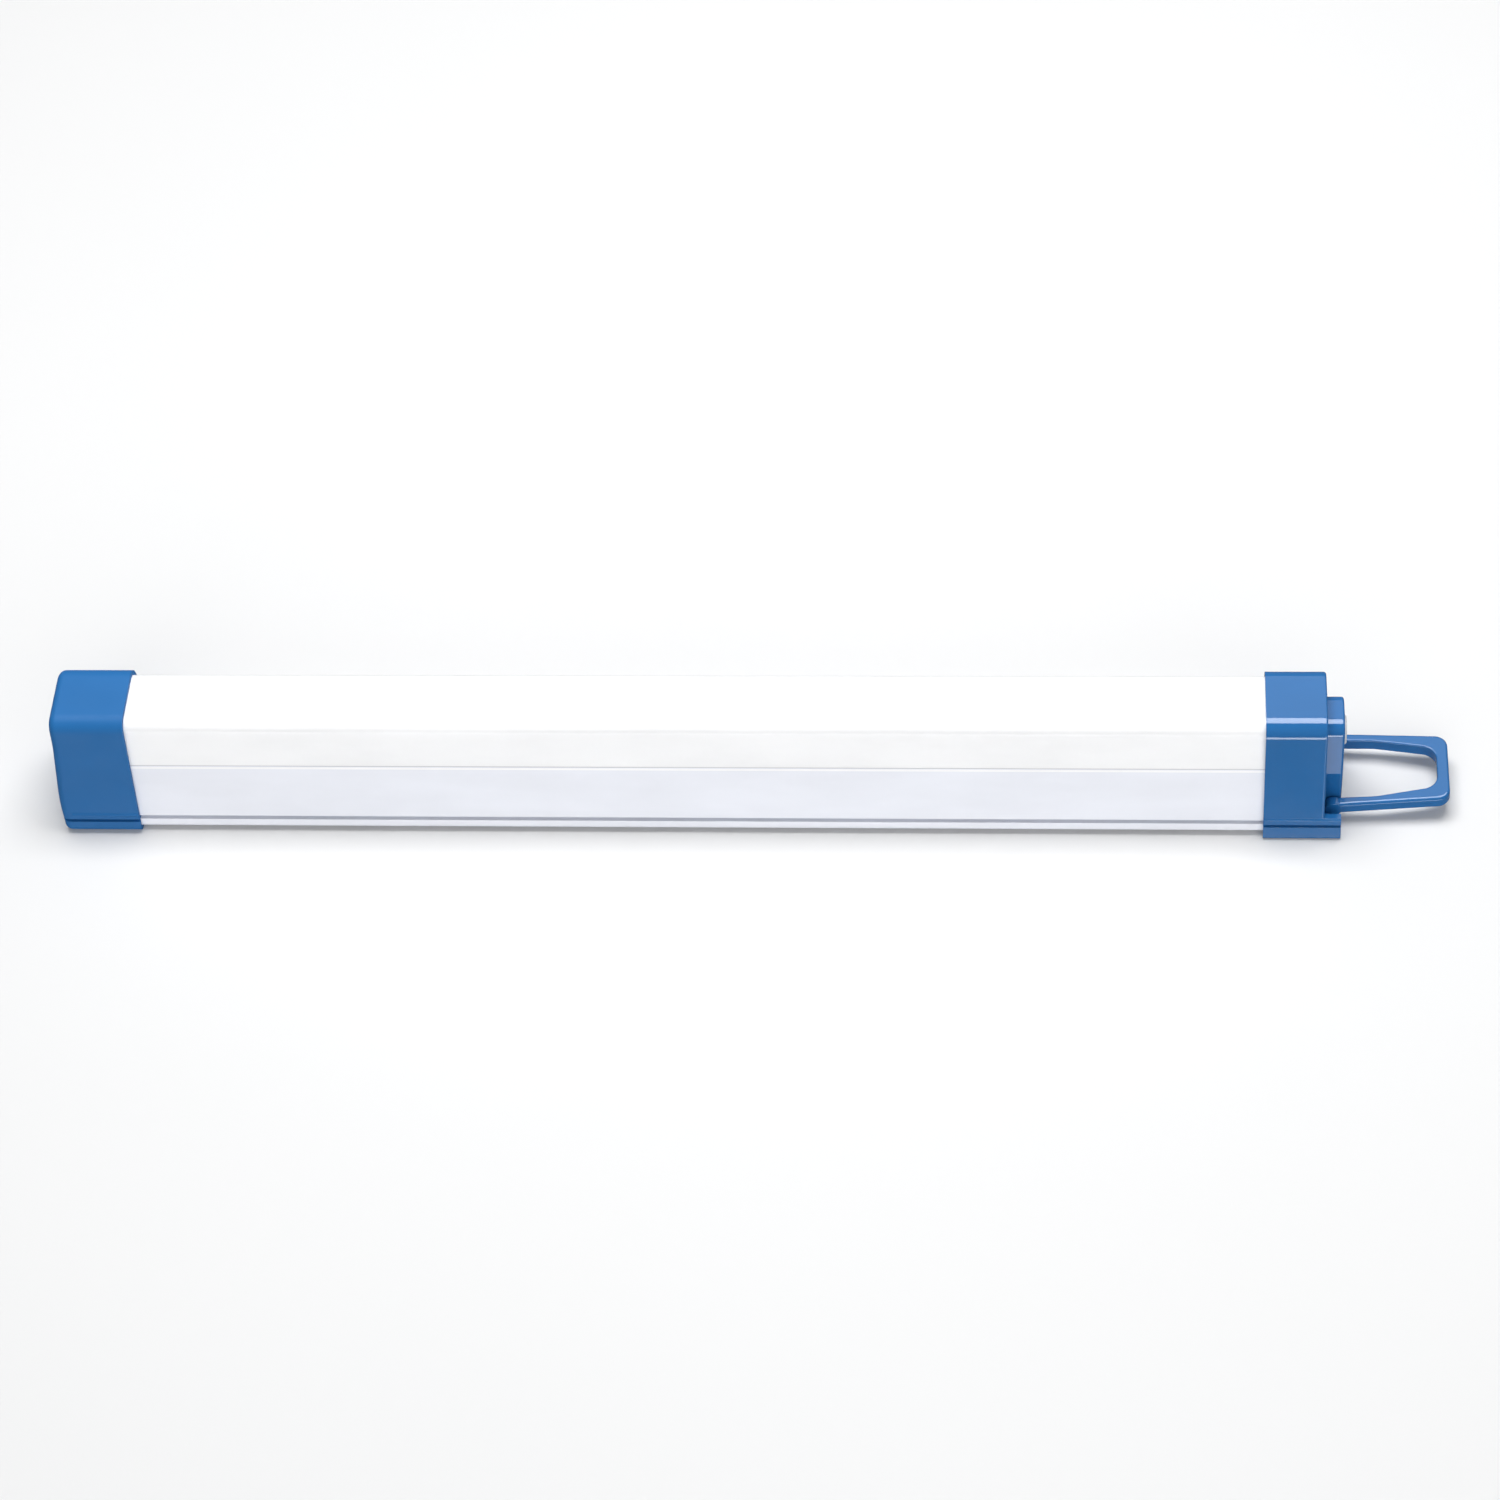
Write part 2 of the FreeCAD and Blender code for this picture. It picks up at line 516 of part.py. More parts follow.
def make_hook_cap():
    """Blue cap at +X with the boss, the rails beside the hook's pivot and the control openings."""
    whole = tapered(OVERHANG, 0, CAP_TOP, BASE_CORNER, TUBE_CORNER + OVERHANG, MOUTH, END)
    body = tapered(OVERHANG, 0, CAP_TOP, BASE_CORNER, TUBE_CORNER + OVERHANG, MOUTH, STEP_X)
    body = body.makeFillet(STEP_ROUND, edges_at(body, STEP_X))
    rails = whole.common(block(STEP_X - END_PLATE, END, -FAR, FAR, 0, RAIL_HEIGHT))
    trough = tapered(OVERHANG - RAIL_WALL, LEDGE, RAIL_HEIGHT + CUT_PAST, 0, 0, STEP_X, END + CUT_PAST)
    boss = make_boss(0, STEP_X - END_PLATE, BOSS_X).common(block(0, END + FAR, -FAR, FAR, EPS, FAR))
    face_edges = [e for e in edges_at(boss, BOSS_X) if e.BoundBox.ZMax > LEDGE]
    boss = boss.makeFillet(BOSS_EDGE, face_edges)
    body = fused([body, rails.cut(trough), boss] + cap_beads(MOUTH, END))
    body = body.cut(cap_cavity(TUBE_END - EPS, STEP_X - END_PLATE))
    hollow = make_boss(BOSS_WALL, STEP_X - END_PLATE - CUT_PAST, FACE_INNER)
    body = body.cut(hollow.common(block(0, END, -FAR, FAR, CAP_FLOOR, FAR)))
    post_length = STEP_X - END_PLATE - BOARD_FRONT + EPS
    posts = screw_posts(TUBE_END, STEP_X - EPS, whole)
    posts += [rod(BOARD_POST_RADIUS, (BOARD_FRONT, y, z), post_length) for y, z in board_screw_places()]
    cuts = cap_cutters(1, END) + control_openings()
    bite = BOARD_SCREW_LENGTH - BOARD_THICK + THREAD_GAP
    for y, z in board_screw_places():
        cuts.append(rod(BOARD_SCREW_RADIUS + THREAD_GAP, (BOARD_FRONT - CUT_PAST, y, z), bite + CUT_PAST))
    hole_start = HOLE_HALF_ROOT - NEST_GAP - BOSS_WALL - CUT_PAST
    for side in (1, -1):
        cuts.append(rod(PIN_RADIUS + PIN_GAP, (PIVOT_X, side * hole_start, PIVOT_Z),
                        BOSS_WALL + 2 * CUT_PAST, ACROSS * side))
    return fused([body] + posts).cut(Part.makeCompound(cuts))


def control_openings():
    """Openings in the boss face for the button, the socket and the two light pipes."""
    x0, x1 = FACE_INNER - CUT_PAST, BOSS_X + CUT_PAST
    cuts = [rod(BUTTON_RADIUS + BUTTON_GAP, (x0, 0, BUTTON_Z), x1 - x0)]
    cuts += both_sides(lambda side: rod(PIPE_RADIUS + PIPE_GAP, (x0, side * PIPE_Y, PIPE_Z), x1 - x0))
    cuts.append(stadium(SOCKET_WIDTH / 2 + SOCKET_GAP, SOCKET_HEIGHT / 2 + SOCKET_GAP, x0, x1))
    return cuts


def stadium(half_wide, half_high, x0, x1):
    """Bar with the rounded section of the charge socket."""
    outline = mirrored([(half_wide, SOCKET_Z - half_high), (half_wide, SOCKET_Z + half_high)])
    return prism(outline, [half_high - EPS] * 4, x0, x1)


# ---- hook ------------------------------------------------------------------------------
def on_boundary(solid, edge):
    """True where an edge's middle lies on the solid's surface."""
    middle = Part.Vertex(edge.valueAt((edge.FirstParameter + edge.LastParameter) / 2))
    return middle.distToShape(solid)[0] < FLAT


def make_hook():
    """Closed bail with an eye and an inward trunnion on each leg, drawn about its pivot."""
    top = HOOK_THICK / 2

    def flat(corners, radii):
        points = [FreeCAD.Vector(x, y, -top) for x, y in corners]
        return Part.Face(rounded_wire(points, radii)).extrude(UP * HOOK_THICK)

    outer = flat([(0, -HOOK_HALF_ROOT), (HOOK_REACH, -HOOK_HALF_TIP),
                  (HOOK_REACH, HOOK_HALF_TIP), (0, HOOK_HALF_ROOT)], [0, HOOK_CORNER, HOOK_CORNER, 0])
    long_edges = [e for e in outer.Edges if e.BoundBox.ZLength < FLAT and e.BoundBox.XMax > FLAT]
    outer = outer.makeFillet(HOOK_EDGE, long_edges)
    hole = flat([(-CUT_PAST, -HOLE_HALF_ROOT), (HOLE_MID, -HOLE_HALF_MID), (HOOK_HOLE, -HOLE_HALF_TIP),
                 (HOOK_HOLE, HOLE_HALF_TIP), (HOLE_MID, HOLE_HALF_MID), (-CUT_PAST, HOLE_HALF_ROOT)],
                [0, HOLE_BEND, HOLE_CORNER, HOLE_CORNER, HOLE_BEND, 0])
    bail = outer.cut(hole)
    rims = [e for e in bail.Edges
            if e.BoundBox.ZLength < FLAT < e.BoundBox.XLength and on_boundary(hole, e)]
    parts = [bail.makeFillet(HOLE_EDGE, rims)]
    pin_root = HOLE_HALF_ROOT + EPS
    pin_length = NEST_GAP + BOSS_WALL - PIN_GAP
    for side in (1, -1):
        parts.append(rod(EYE_RADIUS, (0, side * HOLE_HALF_ROOT, 0), HOOK_LEG, ACROSS * side))
        parts.append(rod(PIN_RADIUS, (0, side * pin_root, 0), pin_length, ACROSS * -side))
    hook = fused(parts)
    hook.rotate(FreeCAD.Vector(0, 0, 0), ACROSS, -HOOK_REST_DEG)
    hook.translate(FreeCAD.Vector(PIVOT_X, 0, PIVOT_Z))
    return hook


# ---- controls ------------------------------------------------------------------------------
def rim_back():
    """Back of the button's rim, where the switch plunger meets it."""
    return FACE_INNER - BUTTON_RIM_GAP - BUTTON_RIM_THICK


def make_push_button():
    """Round key with a rim behind the boss face, trimmed to the boss's hollow."""
    rim = rod(BUTTON_RADIUS + BUTTON_RIM, (rim_back(), 0, BUTTON_Z), BUTTON_RIM_THICK)
    rim = rim.common(make_boss(BOSS_WALL + BUTTON_RIM_GAP, rim_back() - CUT_PAST, BOSS_X))
    key_end = BOSS_X + BUTTON_PROUD
    key = rod(BUTTON_RADIUS, (rim_back(), 0, BUTTON_Z), key_end - rim_back())
    return fused([rim, key.makeFillet(BUTTON_EDGE, edges_at(key, key_end))])


def make_switch_plunger():
    x0 = BOARD_FRONT + SWITCH_HEIGHT - PLUNGER_ROOT
    return rod(PLUNGER_RADIUS, (x0, 0, BUTTON_Z), rim_back() - x0)


def make_switch_body():
    half = SWITCH_SIZE / 2
    front = BOARD_FRONT + SWITCH_HEIGHT
    body = block(BOARD_FRONT, front, -half, half, BUTTON_Z - half, BUTTON_Z + half)
    depth = PLUNGER_ROOT + BUTTON_TRAVEL + PLUNGER_GAP
    return body.cut(rod(PLUNGER_RADIUS + PLUNGER_GAP, (front - depth, 0, BUTTON_Z), depth + CUT_PAST))


def make_charge_socket():
    """Upright socket: a steel shell with a closed back."""
    x1 = BOSS_X - SOCKET_SUNK
    half_w, half_h = SOCKET_WIDTH / 2, SOCKET_HEIGHT / 2
    inner = stadium(half_w - SOCKET_SHELL, half_h - SOCKET_SHELL, BOARD_FRONT + SOCKET_BACK, x1 + CUT_PAST)
    return stadium(half_w, half_h, BOARD_FRONT, x1).cut(inner)


def make_socket_tongue():
    """Contact tongue on the back of the socket."""
    x1 = BOSS_X - SOCKET_SUNK - TONGUE_SUNK
    half_w, half_t = TONGUE_WIDTH / 2, TONGUE_THICK / 2
    return block(BOARD_FRONT + SOCKET_BACK, x1, -half_w, half_w, SOCKET_Z - half_t, SOCKET_Z + half_t)


def make_light_pipe(side):
    """Clear pipe that carries one indicator to the boss face."""
    y = side * PIPE_Y
    x0 = BOARD_FRONT + INDICATOR[0] + PIPE_FROM_LED
    stem = rod(PIPE_RADIUS, (x0, y, PIPE_Z), BOSS_X - x0)
    rim = rod(PIPE_RADIUS + PIPE_RIM, (FACE_INNER - PIPE_RIM_THICK, y, PIPE_Z), PIPE_RIM_THICK)
    return fused([stem, rim])


def make_indicator_leds():
    """Chip light behind each pipe, on the front of the board."""
    return [block(BOARD_FRONT, BOARD_FRONT + INDICATOR[0], y - INDICATOR[1] / 2, y + INDICATOR[1] / 2,
                  PIPE_Z - INDICATOR[2] / 2, PIPE_Z + INDICATOR[2] / 2) for y in (PIPE_Y, -PIPE_Y)]


# ---- control board ----------------------------------------------------------------------------
def make_control_board():
    board = tapered(board_offset(), BOARD_LOW, BOARD_HIGH, BOARD_CORNER, BOARD_CORNER,
                    BOARD_BACK, BOARD_FRONT)
    holes = [rod(BOARD_SCREW_RADIUS + THREAD_GAP, (BOARD_BACK - CUT_PAST, y, z), BOARD_THICK + 2 * CUT_PAST)
             for y, z in board_screw_places()]
    return board.cut(Part.makeCompound(holes))


def make_board_screws():
    screws = []
    x0 = BOARD_BACK - BOARD_HEAD_HEIGHT
    for y, z in board_screw_places():
        head = rod(BOARD_HEAD_RADIUS, (x0, y, z), BOARD_HEAD_HEIGHT)
        shank = rod(BOARD_SCREW_RADIUS, (BOARD_BACK, y, z), BOARD_SCREW_LENGTH)
        screws.append(fused([head, shank]).cut(cross_slot(BOARD_CROSS, x0, 1, y, z)))
    return screws


def cross_slot(sizes, x, inward, y, z):
    """Cross recess of a width, length and depth that starts at x and goes in along +X or -X."""
    width, length, depth = sizes
    x0, x1 = sorted((x - inward * EPS, x + inward * depth))
    flat = block(x0, x1, y - length / 2, y + length / 2, z - width / 2, z + width / 2)
    tall = block(x0, x1, y - width / 2, y + width / 2, z - length / 2, z + length / 2)
    return flat.fuse(tall)


def on_board_back(sizes, place):
    """Block of a height, width and length on the back of the board, at a place on it."""
    height, width, length = sizes
    y, z = place[0], BOARD_LOW + place[1]
    return block(BOARD_BACK - height, BOARD_BACK, y - width / 2, y + width / 2,
                 z - length / 2, z + length / 2)


def make_board_coil():
    """Drum inductor on the back of the board."""
    y, rise = COIL_PLACE
    return rod(COIL_RADIUS, (BOARD_BACK - COIL_HEIGHT, y, BOARD_LOW + rise), COIL_HEIGHT)


# ---- light strip ---------------------------------------------------------------------------------
def make_light_strip():
    half, end = strip_half(), TUBE_END - STRIP_SHORT
    return block(-end, end, -half, half, STRIP_BOTTOM, STRIP_TOP)


def led_stations():
    """Places along the strip, as many as fit between the margins, about its middle."""
    gaps = int(2 * (TUBE_END - STRIP_SHORT - LED_MARGIN) / LED_PITCH)
    return [(i - gaps / 2) * LED_PITCH for i in range(gaps + 1)]


def make_leds():
    """Surface-mount lights in two rows, each a flat block with a framed window."""
    leds = []
    for row in range(LED_ROWS):
        y = (row - (LED_ROWS - 1) / 2) * LED_ROW_PITCH
        for x in led_stations():
            led = block(x - LED_LENGTH / 2, x + LED_LENGTH / 2, y - LED_WIDTH / 2, y + LED_WIDTH / 2,
                        STRIP_TOP, STRIP_TOP + LED_HEIGHT)
            top = [e for e in led.Edges if e.BoundBox.ZMin > STRIP_TOP + LED_HEIGHT - FLAT]
            leds.append(led.makeChamfer(LED_LENS, top))
    return leds


def make_strip_resistors():
    long_x, wide, high = RESISTOR
    stations = led_stations()[RESISTOR_FIRST::RESISTOR_EVERY]
    return [block(x + LED_PITCH / 2 - long_x / 2, x + LED_PITCH / 2 + long_x / 2, -wide / 2, wide / 2,
                  STRIP_TOP, STRIP_TOP + high) for x in stations]


def make_strip_wire(side):
    """Short lead from the end of the strip to the control board."""
    start = TUBE_END - STRIP_SHORT - STRIP_WIRE_LAP
    height = STRIP_TOP + STRIP_WIRE_RADIUS
    return rod(STRIP_WIRE_RADIUS, (start, side * STRIP_WIRE_Y, height), BOARD_BACK - start)


# ---- battery ----------------------------------------------------------------------------------------
def cell_starts():
    """Low-X ends of the two cells, which lie end to end about the middle of the tube."""
    return [-CELL_LENGTH - CELL_GAP / 2, CELL_GAP / 2]


def make_battery_cells():
    cells = []
    for x in cell_starts():
        can = rod(CELL_RADIUS, (x, 0, CELL_Z), CELL_LENGTH - NUB_HEIGHT)
        can = can.makeFillet(CELL_EDGE, edges_at(can, x) + edges_at(can, x + CELL_LENGTH - NUB_HEIGHT))
        nub = rod(NUB_RADIUS, (x + CELL_LENGTH - NUB_HEIGHT - EPS, 0, CELL_Z), NUB_HEIGHT + EPS)
        cells.append(fused([can, nub]))
    return cells


def make_cell_rings():
    """Paper ring round each positive nub."""
    rings = []
    for x in cell_starts():
        x0 = x + CELL_LENGTH - NUB_HEIGHT
        hole = rod(NUB_RADIUS + RING_GAP, (x0 - CUT_PAST, 0, CELL_Z), RING_THICK + 2 * CUT_PAST)
        rings.append(rod(CELL_RADIUS - RING_INSET, (x0, 0, CELL_Z), RING_THICK).cut(hole))
    return rings


def strap_at(x):
    return block(x, x + STRAP_THICK, -STRAP_WIDTH / 2, STRAP_WIDTH / 2,
                 CELL_Z - STRAP_HEIGHT / 2, CELL_Z + STRAP_HEIGHT / 2)


def make_nickel_straps():
    """Tabs on both ends of the pack and the folded strap between the cells."""
    left, right = cell_starts()
    middle = fused([strap_at(left + CELL_LENGTH), strap_at(right - STRAP_THICK),
                    block(left + CELL_LENGTH, right, -STRAP_WIDTH / 2, STRAP_WIDTH / 2,
                          CELL_Z + STRAP_HEIGHT / 2 - STRAP_THICK, CELL_Z + STRAP_HEIGHT / 2)])
    return [strap_at(left - STRAP_THICK), middle, strap_at(right + CELL_LENGTH)]


def make_foam_pads():
    """Foam blocks that stop the pack from sliding along the tube."""
    left, right = cell_starts()
    half = CRADLE_Y - FOAM_FIT
    low, high = INNER_FLOOR + FOAM_FIT, STRIP_BOTTOM - FOAM_FIT
    starts = (left - STRAP_THICK - FOAM_GAP - FOAM_THICK, right + CELL_LENGTH + STRAP_THICK + FOAM_GAP)
    return [block(x, x + FOAM_THICK, -half, half, low, high) for x in starts]


def routed_wire(points, radius, bend):
    """Tube along straight runs joined by tangent arcs."""
    corners = [FreeCAD.Vector(*p) for p in points]
    edges, last = [], corners[0]
    for before, here, after in zip(corners, corners[1:], corners[2:]):
        back, ahead = (before - here), (after - here)
        back.normalize()
        ahead.normalize()
        half = back.getAngle(ahead) / 2
        reach = bend / math.tan(half)
        start, end = here + back * reach, here + ahead * reach
        middle = back + ahead
        middle.normalize()
        depth = bend / math.sin(half) - bend
        edges.append(Part.LineSegment(last, start).toShape())
        edges.append(Part.Arc(start, here + middle * depth, end).toShape())
        last = end
    edges.append(Part.LineSegment(last, corners[-1]).toShape())
    path = Part.Wire(edges)
    first_run = corners[1] - corners[0]
    circle = Part.Wire(Part.makeCircle(radius, corners[0], first_run))
    return path.makePipeShell([circle], True, False)


def make_battery_wire(side):
    """Lead from one end tab of the pack, along the floor under the cells, to the control board."""
    left, right = cell_starts()
    tab = right + CELL_LENGTH + STRAP_THICK if side > 0 else left - STRAP_THICK
    start = tab + side * WIRE_RADIUS
    y, pad_z = side * WIRE_Y, BOARD_LOW + WIRE_PAD_RISE
    pad_y = side * (half_width(pad_z + WIRE_RADIUS, LIP_INNER) - WIRE_GAP - WIRE_RADIUS)
    route = [(start, 0, CELL_Z), (start, y, CELL_Z), (start, y, WIRE_Z), (MOUTH - WIRE_LIFT_OFF, y, WIRE_Z),
             (BOARD_BACK - WIRE_LAST_RUN, pad_y, pad_z), (BOARD_BACK, pad_y, pad_z)]
    return routed_wire(route, WIRE_RADIUS, WIRE_BEND)


# ---- fasteners and magnets -----------------------------------------------------------------------------
def make_cap_screws(sign):
    """Two self-tapping screws through a cap into the housing's channels."""
    screws = []
    seat = TUBE_END + SCREW_SEAT
    head_end, tip = seat + SCREW_HEAD_HEIGHT, seat - SCREW_LENGTH
    for y in (SCREW_Y, -SCREW_Y):
        head = rod(SCREW_HEAD_RADIUS, (seat, y, SCREW_Z), SCREW_HEAD_HEIGHT)
        head = head.makeFillet(SCREW_HEAD_ROUND, edges_at(head, head_end))
        shank = rod(SCREW_RADIUS, (tip, y, SCREW_Z), SCREW_LENGTH)
        shank = shank.makeChamfer(SCREW_POINT, edges_at(shank, tip))
        screw = fused([head, shank]).cut(cross_slot(SCREW_CROSS, head_end, -1, y, SCREW_Z))
        screws.append(screw if sign > 0 else screw.mirror(FreeCAD.Vector(0, 0, 0), ALONG))
    return screws


def make_magnets(sign):
    """Two disc magnets in the floor of a cap, just clear of the resting plane."""
    return both_sides(lambda side: rod(MAGNET_RADIUS, (sign * MAGNET_X, side * MAGNET_Y, MAGNET_SUNK),
                                       MAGNET_THICK, UP))


def group(shapes):
    return Part.makeCompound(shapes)


os.makedirs("parts", exist_ok=True)
save("diffuser", make_diffuser())
save("housing", make_housing())
save("end_cap", make_end_cap())
save("hook_cap", make_hook_cap())
save("hook", make_hook())
save("push_button", make_push_button())
save("switch_plunger", make_switch_plunger())
save("switch_body", make_switch_body())
save("charge_socket_shell", make_charge_socket())
save("charge_socket_tongue", make_socket_tongue())
save("indicator_light_pipes", group(both_sides(make_light_pipe)))
save("indicator_leds", group(make_indicator_leds()))
save("control_board", make_control_board())
save("control_board_screws", group(make_board_screws()))
save("board_chips", group([on_board_back(CHIP, place) for place in CHIP_PLACES]))
save("board_coil", make_board_coil())
save("board_passives", group([on_board_back(PASSIVE, place) for place in PASSIVE_PLACES]))
save("led_strip_board", make_light_strip())
save("leds", group(make_leds()))
save("strip_resistors", group(make_strip_resistors()))
save("strip_wire_red", make_strip_wire(1))
save("strip_wire_black", make_strip_wire(-1))
save("battery_cells", group(make_battery_cells()))
save("cell_rings", group(make_cell_rings()))
save("nickel_straps", group(make_nickel_straps()))
save("foam_pads", group(make_foam_pads()))
save("battery_wire_red", make_battery_wire(1))
save("battery_wire_black", make_battery_wire(-1))
save("end_cap_screws", group(make_cap_screws(-1)))
save("hook_cap_screws", group(make_cap_screws(1)))
save("end_cap_magnets", group(make_magnets(-1)))
save("hook_cap_magnets", group(make_magnets(1)))
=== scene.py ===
"""Looks of the LED light tube: finishes, detailed light packages and the studio it is shown in."""

import json
import math

import bmesh
import bpy
from mathutils import Matrix, Vector


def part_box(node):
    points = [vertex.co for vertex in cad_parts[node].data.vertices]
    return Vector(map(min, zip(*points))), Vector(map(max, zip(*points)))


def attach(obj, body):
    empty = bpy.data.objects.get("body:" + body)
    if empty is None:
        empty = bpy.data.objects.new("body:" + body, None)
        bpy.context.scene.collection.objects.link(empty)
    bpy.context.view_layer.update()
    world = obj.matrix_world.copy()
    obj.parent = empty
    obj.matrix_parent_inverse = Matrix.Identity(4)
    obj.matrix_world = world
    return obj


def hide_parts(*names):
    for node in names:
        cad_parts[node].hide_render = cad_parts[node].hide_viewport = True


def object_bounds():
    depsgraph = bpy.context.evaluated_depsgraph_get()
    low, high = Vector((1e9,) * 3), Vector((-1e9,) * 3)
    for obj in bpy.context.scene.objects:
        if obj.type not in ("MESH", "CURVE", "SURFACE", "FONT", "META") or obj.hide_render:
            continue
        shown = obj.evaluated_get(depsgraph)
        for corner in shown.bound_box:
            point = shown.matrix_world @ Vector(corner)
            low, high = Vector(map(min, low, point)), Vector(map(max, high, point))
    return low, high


bl_info = {
    "name": "LED light tube looks",
    "version": (1, 0, 0),
    "blender": (4, 5, 0),
    "location": "View3D > Sidebar > Light Tube",
    "description": "Finishes for a rechargeable light tube, with its studio floor, lights and camera",
    "category": "Object",
}

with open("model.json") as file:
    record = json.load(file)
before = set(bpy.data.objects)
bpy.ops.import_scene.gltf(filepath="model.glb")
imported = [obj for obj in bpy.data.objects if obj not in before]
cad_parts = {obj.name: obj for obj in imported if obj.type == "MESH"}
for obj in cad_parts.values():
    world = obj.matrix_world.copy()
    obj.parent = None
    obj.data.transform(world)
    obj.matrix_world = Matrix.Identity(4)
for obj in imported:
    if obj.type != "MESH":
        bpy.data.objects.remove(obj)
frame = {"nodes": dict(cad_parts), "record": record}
CAD_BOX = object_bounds()

# ---- colours that stay the same whatever the lamp's own colours are ---------------------------

INK = (0.018, 0.018, 0.02)           # black moulded plastic
STEEL = (0.60, 0.60, 0.61)
NICKEL = (0.66, 0.64, 0.60)
MAGNET_PLATE = (0.72, 0.70, 0.66)
GOLD = (0.72, 0.50, 0.18)
SOLDER = (0.62, 0.63, 0.64)
COPPER = (0.65, 0.3, 0.14)
WINDING = (0.62, 0.24, 0.09)         # enamelled wire of the coil
FERRITE = (0.07, 0.07, 0.075)
CLEAR = (0.88, 0.9, 0.92)            # light pipes
INDICATOR_CREAM = (0.86, 0.86, 0.78)
PACKAGE_WHITE = (0.84, 0.84, 0.80)   # body of each light on the strip
STRIP_WHITE = (0.84, 0.85, 0.84)
STRIP_TRACE = (0.74, 0.77, 0.74)
STRIP_CUT = (0.55, 0.56, 0.57)       # sawn edge of the light strip
BOARD_GREEN = (0.012, 0.15, 0.06)
BOARD_TRACE = (0.03, 0.26, 0.11)
BOARD_CUT = (0.36, 0.33, 0.16)       # sawn edge of the control board
CELL_END = (0.6, 0.6, 0.6)
RING_PAPER = (0.72, 0.70, 0.60)
FOAM_GREY = (0.17, 0.17, 0.18)
WIRE_RED = (0.5, 0.02, 0.015)
WIRE_BLACK = (0.014, 0.014, 0.015)
SEAM_PAINTED_SHADOW = (0.66, 0.66, 0.69)       # painted shadow line between cover and tray
TRAY_PAINTED_HIGHLIGHT = (0.97, 0.97, 0.99)        # painted highlight line below it
GROOVE_PAINTED_SHADE = (0.38, 0.4, 0.46)      # painted shade in the clip grooves
AIR_WHITE = (0.96, 0.98, 1.0)        # light from all round

# ---- sizes of patterns, in metres -------------------------------------------------------------

MICRON = 1e-6
FLOW_SIZE = 0.012                    # faint shading where the plastic flowed in the mould
FLOW_STRETCH = (0.35, 1, 1)
FLOW_SHADE = (0.965, 1.035)
POLISH_SIZE = 0.006                  # patches where a mould's polish is uneven
POLISH_SHARE = 0.12                  # part of the roughness that they add or take away
METAL_PATCH = 0.004
METAL_SHADE = (0.9, 1.05)
METAL_ROUGH = (0.75, 1.3)            # marks in bare metal, as shares of its roughness
CONTACT_PITCH = 0.0005               # gold contacts of the charge socket
TRACE_PITCH = 0.0021                 # copper runs under the white mask
TRACE_LENGTH = 0.0034                # copper runs under the green mask
TRACE_ROW = 0.0011
TRACE_GAP = 0.00012
WINDING_PITCH = 0.00035              # wire round the coil
WRAP_RIPPLE = 0.02                   # slow ripple along the shrink wrap
PAPER_GRAIN = 0.0004
PAPER_FIBRE = 0.0006
FOAM_PORE = 0.0006
FLOOR_PATCH = 0.3
FLOOR_GRAIN = 0.001
SEAM_LINE = 0.00022                  # half height of the fine painted shadow line between cover and tray
SEAM_BLUR = 0.00004
GROOVE_HALF = 0.0005                 # half height of the clip grooves

# ---- ranges that the nodes work with ----------------------------------------------------------

NOISE_SPAN = (0.3, 0.7)              # most of a noise lies between these
FACING_SPAN = (0.7, 0.75)            # how squarely a face has to look along an axis
WAVE_TURN = 20                       # radians that a wave texture turns in a metre at a scale of 1
MIX_FIRST, MIX_SECOND = 6, 7         # colour sockets of a mix node
MIX_RESULT = 2

# ---- shape of a light on the strip, in metres -------------------------------------------------

LED_CORNER = 0.0002                  # rounded uprights of a light
LED_FRAME = 0.00035                  # flat frame round its window
LED_SLOPE = 0.0001
LED_SUNK = 0.00022                   # window below the frame
LED_DOME = 0.00008                   # window's rise towards its middle
JOIN = 1e-6                          # vertices this close are one

# ---- studio, in metres and degrees ------------------------------------------------------------

OVERHEAD_PLACE = Vector((0.02, 0.26, 1.0))
OVERHEAD_SIZE = (0.8, 0.42)
FRONT_PLACE = Vector((0.3, -1.6, 0.9))
FRONT_SIZE = (2.4, 1.2)
GLOSS_LENGTH = 1.6                   # gloss panels, along the lamp
GLOSS_FAR = 1.0                      # from the hook cap's front ridge
SHEEN_SPAN = (-28, 8)                # where each gloss panel starts and ends, from straight up
SHEEN_BACK_SPAN = (-60, -31)
RIM_SPAN = (103, 113.6)
BOSS_SPAN = (119, 127)
FLOOR_HALF = 6.0
CLIP_NEAR, CLIP_FAR = 0.05, 50

# ---- settings ---------------------------------------------------------------------------------


